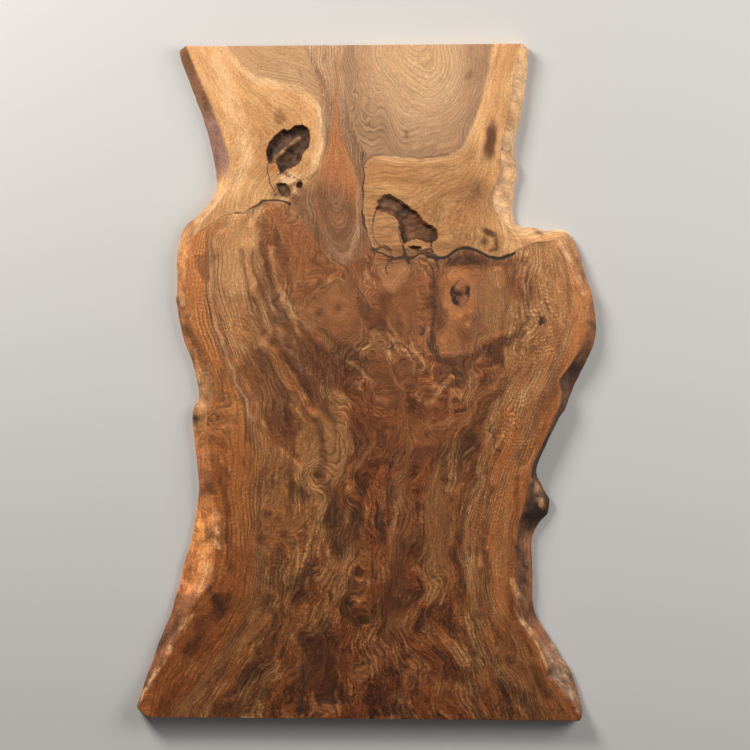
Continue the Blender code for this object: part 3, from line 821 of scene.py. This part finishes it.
# Each zone is the corners of its outline on the layout sheet
SAP_LEFT = (
    (140, 20), *LEFT_HEART_BORDER, *LEFT_FORK_BORDER, (284, 202), (272, 200), (264, 200), (260, 203),
    (250, 210), (240, 213), (230, 214), (222, 216), (215, 221), (205, 228), (190, 233), (150, 240),
)
HEART_LEFT = (
    *LEFT_HEART_BORDER, (320, 106), (322, 96), (312, 70), (303, 42), (300, 20),
)
SAP_RIGHT = (
    *RIGHT_HEART_BORDER, *RIGHT_FORK_BORDER, (372, 251), (401, 258), (430, 258), (440, 259), (450, 255),
    (456, 251), (464, 248), (475, 249.5), (482, 254), (490, 257), (500, 257), (508, 255), (515, 252),
    (523, 248), (532, 245), (540, 243), (556, 240), (590, 236), (610, 200), (610, 20),
)
HEART_RIGHT = (
    (345, 20), (345, 40), (340, 65), (345, 90), (350, 115), (358, 140), *RIGHT_HEART_BORDER[::-1],
)
FORK = (
    (300, 20), (308, 60), (322, 88), (324, 98), *LEFT_FORK_BORDER, (290, 200), (302, 222), (318, 246),
    (330, 260), (342, 268), (356, 260), (370, 250), *RIGHT_FORK_BORDER[::-1], (368, 156), (358, 140),
    (350, 115), (345, 90), (346, 65), (352, 20),
)
in_sap_left = inside_distance(ragged, SAP_LEFT)
in_heart_left = inside_distance(sheet, HEART_LEFT)
in_sap_right = inside_distance(ragged, SAP_RIGHT)
in_heart_right = inside_distance(sheet, HEART_RIGHT)
in_fork = inside_distance(sheet, FORK)


def lay_zone(share, **given):
    """Gives one zone its own figure, and quiets the lines along its border."""
    for name, values in given.items():
        figure[name] = np.where(share > 0.5, values, figure[name])
    for name in ("line", "curl", "pale"):
        figure[name] *= np.clip(np.abs(share - 0.5) * 2.4, 0, 1)


# Grey-brown fork wood between the limbs, its lines running down both sides of the flame
share = fade(in_fork, -1.5, 1.5)
paint("ash", share * fade(v, 165, 120))
paint("dusk", share * (0.35 + 0.65 * fade(v, 70, 125)) * fade(v, 250, 200))
dark_u = np.interp(v, (42, 75, 110, 150), (300, 318, 331, 326))
paint("dusk", share * 0.8 * fade(np.abs(u - dark_u), 7, 1))
paint("umber", share * 0.85 * fade(v, 120, 180))
ring_width = np.interp(v, (42, 90, 140, 200), (3.2, 2.2, 2.8, 3.4))
lay_zone(
    share, rings=(u - 336 - middling[0] * 4) / ring_width, along=v,
    line=0.3 + 0.6 * fade(v, 262, 225), curl=0, pale=0.1, strength=0.4,
)

# The flame: an orange core that widens from a point and darkens to a brown tongue with a pale hem
core_u = np.interp(v, (86, 158, 200, 243, 258), (335, 335.5, 336, 340, 340)) + middling[0] * 1.5
half_width = np.interp(v, (84, 114, 143, 158, 173, 190), (0.8, 3, 7, 13, 19, 22))
tongue = np.hypot((u - core_u) / half_width, np.clip(v - 186, 0, 90) / 72) + fine[1] * 0.05
share = fade(tongue, 1.1, 0.9) * fade(v, 84, 92)
paint("flame", share * 0.95 * fade(v, 250, 205))
paint("umber", share * 0.9 * fade(v - (u - core_u) * 0.8, 170, 206))
tongue_hem = fade(np.abs(tongue - 1.02), 0.14, 0.03) * fade(v, 165, 200) * fade(u, 330, 350)
paint("ash", 0.35 * tongue_hem)
lay_zone(share, rings=tongue * 8 + middling[1] * 0.4, along=v, line=0.5, strength=0.35)

# Sapwood of the left limb: a cream band beside the heart, honey-brown round the hollow
share = fade(in_sap_left, -1.2, 1.2)
from_heart, _ = edge_distance(sheet, HEART_LEFT[1:11] + SAP_LEFT[11:17])
span = from_heart / (from_heart + np.abs(u - np.interp(v, (40, 130, 240), (186, 218, 186))) + 4)
paint("sapwood", share)
hollow = oval_reach(u - 275 + broad[0] * 10, v - 150 + broad[1] * 8, 46, 66)
paint("honey", share * 0.9 * fade(hollow, 1.15, 0.3) * fade(from_heart, 7, 15))
paint("cream", share * fade(from_heart, 11, 4))
paint("tan", share * 0.5 * fade(v, 185, 215) * fade(u, 262, 225))
cream_ray = np.abs(u - np.interp(v, (60, 120, 160, 200), (219, 236, 246, 232)) + middling[0] * 8)
paint("cream", share * 0.7 * fade(cream_ray, 11, 2) * fade(v, 205, 170))
lay_zone(
    share, rings=span * 21 + broad[0] * 1.6 + middling[0] * 0.3, along=v + u * 0.5,
    line=0.20 + 0.4 * fade(v, 180, 215), curl=0.04, pale=0.12, strength=0.25,
)

# Sapwood of the right limb: the same, with the honey-brown wood over the right hollow
share = fade(in_sap_right, -1.2, 1.2)
from_heart, _ = edge_distance(sheet, SAP_RIGHT[1:12])
from_arris = np.abs(np.interp(v, (40, 120, 160, 200, 240), (520, 502, 498, 494, 512)) - u)
span = from_heart / (from_heart + np.minimum(from_arris, 300 - v) + 6)
paint("sapwood", share)
hollow = oval_reach(u - 432 + broad[0] * 16, v - 212 + broad[1] * 12, 66, 46)
paint("tan", share * 0.9 * fade(u, 490, 470) * fade(v, 130, 158))
paint("honey", share * 0.35 * fade(v, 180, 120) * fade(u, 486, 500))
paint("honey", share * 0.95 * fade(hollow, 1.3, 0.7) * fade(from_heart, 6, 14))
paint("umber", share * 0.22 * fade(hollow, 1.3, 0.7) * fade(from_heart, 6, 14))
paint("brown", share * 0.45 * fade(oval_reach(u - 470, v - 188, 26, 24), 1.2, 0.3))
paint("cream", share * 0.45 * fade(from_heart, 7, 3) * fade(u, 372, 380))
paint("tan", share * 0.4 * fade(v, 215, 245) * fade(u, 450, 520))
lay_zone(
    share, rings=span * 22 + broad[1] * 1.6 + middling[1] * 0.25, along=v - u * 0.3,
    line=0.18 + 0.25 * fade(v, 190, 235), curl=0.04, pale=0.12, strength=0.3,
)

# Grey-brown heart of the left limb, its arcs parallel to the border of the sapwood
share = fade(in_heart_left, -1.2, 1.2)
depth_left, _ = edge_distance(sheet, HEART_LEFT[1:11])
paint("ash", share * 0.93)
paint("dusk", share * 0.45 * fade(u, 296, 322))
paint("honey", share * 0.25)
lay_zone(
    share, rings=depth_left / 2.9 + broad[0] * 2.4, along=u - v,
    line=0.45, curl=0, pale=0.1, strength=0.15,
)

# Grey-brown heart of the right limb: growth rings nested like a hanging cloth about its top, with
# a fold down their middle and crumpled grain against the fork
share = fade(in_heart_right, -1.2, 1.2)
hung = v + 22 * np.exp(-(((u - 383) / 11) ** 2)) * fade(v, 60, 110) - 26
half = np.where(u > 420, 62, 75) * (1 + middling[0] * 0.10)
nested = ((np.abs(u - 420) / half) ** 2.5 + (np.clip(hung, 0, 300) / 130) ** 2.5) ** 0.4
crumple = np.exp(-(((u - 352) / 22) ** 2) - ((v - 108) / 30) ** 2)
paint("ash", share)
paint("dusk", share * 0.8 * fade(nested, 0.6, 1.05))
paint("cream", share * 0.35 * fade(nested, 0.8, 0.3))
crumpled = crumple * (middling[0] * 5 + fine[1] * 2.5)
lay_zone(
    share, rings=nested * 23 + broad[0] * 3.4 + crumpled + middling[1] * 0.4,
    along=np.degrees(np.arctan2(u - 420, hung + 30)),
    line=0.42 + 0.35 * crumple, curl=0, pale=0.1, strength=0.15,
)

# The bark shade under the fork's right seam, and smudges and small knots of the limbs
SMUDGES = (
    ("black", 0.7, 464, 260, 34, 6, -5), ("walnut", 0.7, 500, 263, 24, 6, -3),
    ("walnut", 0.95, 489, 142, 24, 7, 100), ("honey", 0.85, 290, 182, 30, 17, 155),
    ("honey", 0.7, 388, 184, 20, 12, 60), ("honey", 0.5, 460, 172, 40, 12, -6),
    ("brown", 0.8, 477, 190, 5, 3, 110), ("walnut", 0.6, 283, 189, 13, 9, 150),
    ("umber", 0.5, 384, 230, 12, 17, 0), ("tan", 0.6, 383, 231, 8, 12, 0),
    ("umber", 0.6, 474, 190, 13, 8, 100), ("umber", 0.5, 500, 164, 10, 4, 90),
    ("honey", 0.6, 491, 240, 12, 14, 90), ("black", 0.85, 489, 233, 8, 3.5, 30),
    ("walnut", 0.9, 496, 243, 3, 7, 10), ("black", 0.7, 485, 241, 3, 5, 40),
    ("walnut", 0.7, 492, 248, 6, 2, -20), ("umber", 0.6, 467, 76, 6, 3, 120),
    ("umber", 0.7, 404, 135, 6, 3, 70), ("walnut", 0.5, 279, 118, 10, 6, 100),
    ("umber", 0.5, 300, 74, 5, 2, 60), ("cream", 0.95, 289, 179, 13, 6, 165),
    ("cream", 0.7, 297, 190, 4, 7, 20), ("flame", 0.7, 273, 170, 5, 5, 0),
    ("grey", 0.5, 512, 170, 34, 9, 88), ("walnut", 0.5, 291, 196, 9, 5, 20),
    ("walnut", 0.5, 406, 252, 26, 6, 10), ("umber", 0.6, 302, 190, 5, 4, 0),
    ("walnut", 0.75, 541, 321, 4, 4, 0), ("umber", 0.6, 511, 271, 10, 4, 70),
    ("umber", 0.6, 523, 286, 9, 4, 80), ("rust", 0.9, 273, 168, 6, 4, 60),
    ("umber", 0.8, 286, 176, 5, 1.6, 20), ("umber", 0.8, 296, 184, 3, 2, 70),
    ("umber", 0.6, 279, 183, 2, 4, 0), ("honey", 0.9, 303, 166, 9, 5, 110),
)
for tone, strength, cu, cv, length, width, turn in SMUDGES:
    du, dv = ragged[:, 0] - cu, ragged[:, 1] - cv
    reach = oval_reach(du, dv, length, width, turn)
    paint(tone, strength * fade(reach, 1.3, 0.5))

# Dark seams of bark and cracks: how dark, half width in squares, then the corners of the line
SEAMS = (
    (0.4, 0.8, (198, 232), (205, 228), (215, 221), (222, 216), (230, 214), (240, 213)),
    (0.9, 1.15, (234, 214), (240, 213), (250, 210), (260, 203), (264, 200), (272, 200), (283, 202),
     (291, 206)),
    (1, 1.7, (424, 257), (440, 259), (450, 255), (456, 251), (464, 248), (475, 249.5), (482, 254),
     (490, 257), (500, 257), (508, 255), (516, 252)),
    (0.45, 0.8, (512, 253), (523, 248), (532, 245), (540, 243), (556, 240)),
    (0.9, 0.9, (361, 150), (364, 170), (361, 200), (363, 222), (368, 240), (371, 250), (380, 254),
     (394, 258)),
    (0.45, 0.9, (363, 168), (368, 156), (385, 155), (400, 157), (430, 158), (450, 155)),
    (0.35, 1.2, (320, 108), (323, 130), (322, 150), (318, 166), (311, 179), (300, 190), (292, 200)),
    (0.7, 0.6, (285, 176), (295, 179), (303, 181), (310, 177), (317, 169)),
    (0.9, 1.1, (401, 243), (404, 252), (408, 264)), (0.9, 1.1, (430, 243), (431, 250), (436, 262)),
    (0.7, 0.7, (378, 206), (373, 218), (372, 234), (377, 247), (392, 253)),
    (0.6, 0.6, (398, 214), (397, 228), (401, 242)),
    (0.7, 0.6, (268, 160), (266, 170), (270, 184), (276, 197)),
    (0.8, 0.8, (275, 176), (283, 172), (294, 176), (302, 182)),
    (0.9, 1.3, (386, 262), (398, 256), (412, 259), (424, 252), (438, 258)),
    (0.8, 1.0, (370, 252), (380, 246), (392, 250)), (0.8, 1.2, (408, 246), (418, 252), (430, 249)),
    (0.8, 1.0, (392, 256), (384, 268), (388, 276)),
    (0.5, 0.9, (330, 258), (345, 266), (352, 282), (366, 300), (370, 318)),
    (0.8, 1.4, (301, 664), (303, 690), (299, 716)), (0.6, 0.9, (504, 698), (497, 706), (490, 713)),
    (0.7, 0.7, (512, 705), (517, 710), (520, 718)),
    (0.7, 1.0, (486, 430), (495, 438), (493, 446), (500, 452)),
    (0.35, 1.2, (433, 264), (427, 290), (434, 322), (429, 346), (441, 364)),
    (0.5, 1.2, (379, 503), (383, 524), (379, 543)),
    (0.6, 1.0, (388, 350), (398, 341), (408, 348), (413, 362)),
)
# Cracked rims round the cores of knots: how dark, u, v, half width, half height
RIMS = (
    (1, 460, 293, 9, 12), (0.9, 456, 289, 3, 5), (0.9, 463, 291, 4, 3.5), (0.9, 459, 299, 4, 4),
    (0.4, 337, 307, 3, 3.5), (0.4, 318, 312, 2.5, 3), (0.6, 273, 340, 3.5, 5), (0.7, 421, 331, 3, 3.5),
    (0.7, 403, 364, 4, 5), (0.5, 356, 572, 4, 4.5), (0.6, 348, 603, 4, 6), (0.6, 267, 514, 3, 3.5),
    (0.6, 426, 434, 3, 3), (0.5, 260, 538, 4, 2.5), (0.9, 540, 321, 2, 2.5), (0.6, 493, 235, 3, 2),
    (0.6, 495, 246, 2.5, 3), (0.5, 409, 387, 4, 3), (0.5, 510, 660, 4, 3), (0.5, 213, 418, 5, 4),
)
# Signed distance to the nearest seam in its half widths, 9 where none is laid, and how dark it is
seam = np.full(len(u), 9.0)
seam_share = 0 * u
nearest_seam = np.full(len(u), np.inf)
frayed = sheet + frizzed * 1.6 + shaken * 1.5
for darkness, half_width, *line in SEAMS:
    line = curved(line)
    reach, side = edge_distance(frayed, line)
    ends = (frayed - line[0]) @ (line[1] - line[0]) > 0
    ends &= (frayed - line[-1]) @ (line[-2] - line[-1]) > 0
    closer = (reach / half_width < nearest_seam) & ends
    nearest_seam = np.where(closer, reach / half_width, nearest_seam)
    seam = np.where(closer, reach * side / half_width, seam)
    seam_share = np.where(closer, fade(reach, 7, 4.5) * darkness, seam_share)
for darkness, cu, cv, ru, rv in RIMS:
    reach = oval_reach(frayed[:, 0] - cu, frayed[:, 1] - cv, ru, rv)
    off = (reach - 1) * min(ru, rv)
    closer = (np.abs(off) < nearest_seam) & (reach < 3)
    nearest_seam = np.where(closer, np.abs(off), nearest_seam)
    seam = np.where(closer, off, seam)
    broken = np.clip(0.6 + fine[0] * 2.4, 0, 1)
    seam_share = np.where(closer, fade(reach, 2.4, 1.7) * darkness * broken, seam_share)

# The natural edges are the outside of the trunk under its bark: darker than the face at the left of the
# head and all down the right side, golden where the left edge was peeled to fresh wood. The right side's
# dark tones are partly painted shade, where that edge faces away from the light.
LEFT_SKIN = (
    (40, "brown"), (95, "umber"), (125, "plum"), (160, "plum"), (185, "sapwood"), (225, "tan"),
    (300, "rust"), (340, "red"), (385, "tan"), (440, "rust"), (480, "red"), (505, "gold"), (575, "gold"),
    (592, "rust"), (612, "brown"), (718, "brown"),
)
# Black, walnut and brown down the right edge: partly the edge's own colour, partly painted shade
RIGHT_SKIN = (
    (40, "cream"), (120, "cream"), (165, "cream"), (225, "cream"), (245, "tan"), (300, "rust"),
    (345, "brown"), (370, "black"), (395, "walnut"), (470, "black"), (490, "walnut"), (515, "black"),
    (545, "brown"), (585, "red"), (612, "brown"), (630, "brown"), (655, "umber"), (672, "umber"),
    (695, "umber"), (718, "brown"),
)
in_pocket = np.max([
    inside_distance(sheet, [(MIDDLE_U + x / SQUARE, MIDDLE_V - y / SQUARE) for x, y in rim])
    for _, rim in POCKETS
], axis=0)
for skin, on_side in ((LEFT_SKIN, u < MIDDLE_U), (RIGHT_SKIN, u > MIDDLE_U)):
    at = [step for step, _ in skin]
    named = np.array([TONES[name] for _, name in skin])
    skin_colour = np.column_stack([np.interp(v + middling[0] * 8, at, channel) for channel in named.T])
    share = fade(below_face, 1, 9) * on_side * (below_face < THICKNESS / MM - 2)
    share = share * (in_pocket < -4)
    mottled = (1 + (middling[1] + fine[0]) * np.interp(v, (225, 300), (0.3, 0.7)))[:, None]
    colour += (skin_colour * mottled - colour) * share[:, None]
    figure["line"] *= 1 - 0.5 * share
    figure["bark"] = np.maximum(figure["bark"], share * 0.45)

# Painted highlights and painted shade, laid in broken lines: pale wood along the arrises, ridges and burl
# knobs where they catch the light, a pale grey facet, and dark pits and spots on the edges
EDGE_GLINTS_AND_PITS = (
    ("cream", 0.7, 1.2, (216, 508), (217, 548)), ("sapwood", 0.6, 4, (206, 568), (201, 582), (196, 592)),
    ("sapwood", 0.8, 1.1, (192, 615), (180, 629), (172, 640)),
    ("sapwood", 0.9, 1.1, (170, 648), (164, 662)),
    ("sapwood", 0.8, 1.1, (158, 670), (146, 688), (139, 700)),
    ("cream", 0.8, 1.6, (518, 616), (533, 638), (541, 655), (548, 668)),
    ("sapwood", 0.6, 3.5, (512, 582), (519, 600)), ("grey", 0.7, 5, (556, 672), (566, 688), (573, 702)),
    ("cream", 0.7, 1.3, (551, 662), (566, 682), (577, 712)),
    ("cream", 0.7, 2.2, (558, 244), (574, 268), (583, 294)), ("sapwood", 0.6, 3, (184, 248), (182, 290)),
    ("cream", 0.8, 2.5, (180, 295), (182, 305)), ("cream", 0.5, 2, (217, 194), (212, 206), (196, 222)),
    ("sapwood", 0.5, 3, (532, 482), (536, 490)), ("sapwood", 0.6, 2.5, (540, 500), (543, 507)),
    ("umber", 0.7, 2.5, (205, 372), (214, 380)), ("umber", 0.7, 2, (213, 392), (221, 398)),
    ("cream", 0.5, 2, (208, 366), (218, 372)), ("black", 0.8, 2, (515, 547), (518, 552)),
    ("black", 0.8, 2, (524, 564), (527, 570)), ("black", 0.7, 1.6, (534, 228), (540, 234)),
    ("black", 0.6, 3, (208, 588), (222, 610)), ("black", 0.5, 2, (514, 474), (519, 479)),
)
for tone, share, half_width, *line in EDGE_GLINTS_AND_PITS:
    reach, _ = edge_distance(sheet + frizzed * 3, line)
    broken = np.clip(0.75 + fine[1] * 2, 0, 1)
    paint(tone, share * broken * fade(reach, half_width + 1.5, half_width - 0.8))

# Floors and walls of the hollows: old bark, almost black at the walls
share = fade(below_face, 1, 4) * (in_pocket > -4)
floor_noise = 0.35 + fine[0] * 0.7
paint("black", share)
paint("umber", share * np.clip(floor_noise, 0, 1) * 0.6)
paint("brown", share * 0.6 * fade(oval_reach(u - 418, v - 226, 22, 16), 1.1, 0.6))
ridge, _ = edge_distance(sheet, ((298, 138), (286, 147), (278, 155), (271, 162)))
paint("honey", share * (0.5 + fine[1] * 0.8) * fade(ridge, 2.6, 1))
paint("umber", share * 0.5 * fade(np.hypot(u - 388, v - 205), 16, 8))
paint("tan", 0.7 * fade(oval_reach(u - 383, v - 232, 13, 19), 1.1, 0.9))
figure["bark"] = np.maximum(figure["bark"], share)
figure["line"] *= 1 - share
figure["curl"] *= 1 - share

figure["rings"] += below_face * 0.12
flow = np.column_stack((figure["rings"], figure["along"], figure["strength"]))
traits = np.column_stack((figure["line"], figure["curl"], figure["pale"]))
seams = np.column_stack((seam, seam_share, figure["bark"]))
for name, values in (("flow", flow), ("traits", traits), ("seams", seams)):
    slab.data.attributes.new(name, "FLOAT_VECTOR", "POINT").data.foreach_set("vector", values.ravel())
tinted = np.column_stack((np.clip(colour, 0.004, 1), np.ones(len(u))))
slab.data.attributes.new("ground", "FLOAT_COLOR", "POINT").data.foreach_set("color", tinted.ravel())

# The finish: sanded walnut under a thin hardwax oil. The mesh carries the figure, and the
# material draws from it the ring lines, fibre, pores, curl, seams and bark.


class Wire:
    """A socket of the finish. Arithmetic on it adds Math nodes, and node() adds any other node."""

    def __init__(self, socket):
        self.socket = socket

    def node(self, kind, settings, values, output=0):
        tree = self.socket.id_data
        made = tree.nodes.new("ShaderNode" + kind)
        for name, value in settings.items():
            setattr(made, name, value)
        for name, value in values.items():
            if isinstance(value, Wire):
                tree.links.new(value.socket, made.inputs[name])
            else:
                made.inputs[name].default_value = value
        return Wire(made.outputs[output])

    def maths(self, operation, *values):
        return self.node("Math", {"operation": operation}, dict(enumerate(values)))

    def __add__(self, other):
        return self.maths("ADD", self, other)

    def __sub__(self, other):
        return self.maths("SUBTRACT", self, other)

    def __rsub__(self, other):
        return self.maths("SUBTRACT", other, self)

    def __mul__(self, other):
        return self.maths("MULTIPLY", self, other)

    def __pow__(self, other):
        return self.maths("POWER", self, other)

    def __rpow__(self, other):
        return self.maths("POWER", other, self)

    __radd__ = __add__
    __rmul__ = __mul__


def attribute(wire, name):
    """The x, y and z of one of the mesh's vector attributes, and the vector itself."""
    vector = wire.node("Attribute", {"attribute_name": name}, {}, "Vector")
    parts = [wire.node("SeparateXYZ", {}, {"Vector": vector}, axis) for axis in "XYZ"]
    return *parts, vector


def fade_between(value, low, high):
    """A smooth step of a wire, from 0 at low to 1 at high."""
    span = {"Value": value, "From Min": low, "From Max": high}
    return value.node("MapRange", {"interpolation_type": "SMOOTHSTEP"}, span)


def grain_noise(vector, stretch, detail, roughness, offset):
    """Noise on a vector, stretched by a size for each of its axes."""
    place = vector.node(
        "VectorMath", {"operation": "MULTIPLY_ADD"}, {0: vector, 1: stretch, 2: (offset, offset, 0)}
    )
    return vector.node(
        "TexNoise", {}, {"Vector": place, "Scale": 1, "Detail": detail, "Roughness": roughness}, "Fac"
    )


finish = bpy.data.materials.new("oiled_walnut")
finish.use_nodes = True
shader = finish.node_tree.nodes["Principled BSDF"]
shader.inputs["Specular IOR Level"].default_value = 0.4
where = Wire(finish.node_tree.nodes.new("ShaderNodeTexCoord").outputs["Object"])
ring, run, strength, grain = attribute(where, "flow")
line_share, curl_share, pale_share, _ = attribute(where, "traits")
from_seam, seam_weight, bark, _ = attribute(where, "seams")
ground = where.node("Attribute", {"attribute_name": "ground"}, {}, "Color")

# Fibre and pores, drawn out along the grain, and streaks of darker and redder wood
fibre = grain_noise(grain, (3.2, 0.07, 0), 3, 0.6, 0) - 0.5
streak = grain_noise(grain, (0.85, 0.022, 0), 3, 0.6, 31) - 0.5
drift = grain_noise(grain, (0.16, 0.018, 0), 3, 0.6, 57) - 0.5
flake = grain_noise(grain, (1.6, 0.11, 0), 2, 0.6, 19) - 0.5
blotch = fade_between(grain_noise(grain, (0.30, 0.032, 0), 4, 0.65, 43), 0.51, 0.57)
dash = grain_noise(grain, (2.6, 0.33, 0), 2, 0.6, 71) - 0.5
speck = fade_between(grain_noise(grain, (4.5, 0.30, 0), 1, 0.5, 83), 0.62, 0.76)
grit = where.node("TexNoise", {}, {"Vector": where, "Scale": 260, "Detail": 2}, "Fac") - 0.5
cloud = where.node("TexNoise", {}, {"Vector": where, "Scale": 17, "Detail": 4}, "Fac") - 0.5
stain = fade_between(drift + streak * 0.5, -0.03, 0.07) - 0.5

# Growth rings: a dark line in each turn, some strong and some faint, and fewer pale ones
wave = ring + grit * 0.25 + cloud * 1.2 + flake * 0.35
vary = fade_between(streak + drift, -0.10, 0.22)
FULL_TURN = 2 * math.pi
late_wood = (wave.maths("SINE", wave * FULL_TURN) * 0.5 + 0.5) ** 2.6
tight = (wave.maths("SINE", wave * (FULL_TURN * 2.37)) * 0.5 + 0.5) ** 2
early_wood = (wave.maths("SINE", wave * (FULL_TURN * 0.41) + 1.3) * 0.5 + 0.5) ** 12

# Curl: bars of light and shade straight across the grain
bars = run * 1.7 + streak * 16 + cloud * 14 + flake * 8
curl = bars.maths("SINE", bars) * curl_share * fade_between(cloud + flake + dash, -0.15, 0.25)

# Each of these turns the wood lighter or darker, by a share of a doubling
dark_streak = streak.maths("MINIMUM", streak, 0.04)
doubling = strength * (dark_streak * 2.6 + stain * 0.7 + cloud * 1.1 + flake * 1.1 - blotch * 0.8 + 0.45)
doubling = doubling + (fibre + dash) * (strength * 1.9 + 0.9) + grit * (strength + 1) + curl * 1.05
doubling = doubling - late_wood * line_share * (vary * 1.2 + 0.12) - tight * line_share * 0.2
doubling = doubling - speck * (strength * 0.5 + 0.1) + early_wood * pale_share * vary * 0.5
shade = 2 ** doubling
warmth = (fade_between(stain * 0.3 + streak * 0.8 + cloud * 0.6, -0.22, 0.25) - 0.5) * strength + 0.5
hue = where.node(
    "Mix", {"data_type": "RGBA"}, {0: warmth, 6: (1.10, 0.93, 0.78, 1), 7: (0.92, 1.05, 1.12, 1)}, 2
)
wood = where.node("VectorMath", {"operation": "MULTIPLY"}, {0: ground, 1: hue})
wood = where.node("VectorMath", {"operation": "SCALE"}, {0: wood, "Scale": shade})

# Seams and cracks, and the mottled bark of the hollows and edges
split = from_seam.maths("ABSOLUTE", from_seam) + grit * 0.9
dark = fade_between(split + cloud * 3, 1.5, 0.3) * seam_weight
mottle = where.node(
    "TexNoise", {}, {"Vector": where, "Scale": 85, "Detail": 4, "Roughness": 0.7}, "Fac"
) - 0.5
wood = where.node("VectorMath", {"operation": "SCALE"}, {0: wood, "Scale": 1 + mottle * bark * 1.6})
wood = where.node("Mix", {"data_type": "RGBA"}, {0: dark, 6: wood, 7: (0.030, 0.013, 0.007, 1)}, 2)
shader_links = finish.node_tree.links
shader_links.new(wood.socket, shader.inputs["Base Color"])
gloss = 0.40 + bark * 0.25 + fibre * 0.16 + dark * 0.3 + late_wood * line_share * 0.06
shader_links.new(gloss.socket, shader.inputs["Roughness"])
height = fibre * 0.35 - late_wood * line_share * 0.25 - speck * 0.5
height = height - dark * 2.5 + mottle * bark * 5 + grit * 0.2
bump = where.node("Bump", {}, {"Strength": 0.5, "Distance": 0.0008, "Height": height})
shader_links.new(bump.socket, shader.inputs["Normal"])
slab.data.materials.clear()
slab.data.materials.append(finish)
for face in slab.data.polygons:
    face.use_smooth = True
slab.data.set_sharp_from_angle(angle=math.radians(38))
slab.name = "walnut_slab_figure"

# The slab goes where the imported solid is: its middle over the origin. It stands for that node.
middle = (slab_low + slab_high) / 2
corners = np.array([corner[:] for corner in slab.bound_box])
own_middle = (corners.min(axis=0) + corners.max(axis=0)) / 2
shift = (middle.x - own_middle[0], middle.y - own_middle[1], 0)
moved = bmesh.new()
moved.from_mesh(slab.data)
bmesh.ops.translate(moved, verts=moved.verts, vec=shift)
moved.to_mesh(slab.data)
moved.free()
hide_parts("walnut_slab")
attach(slab, "root")
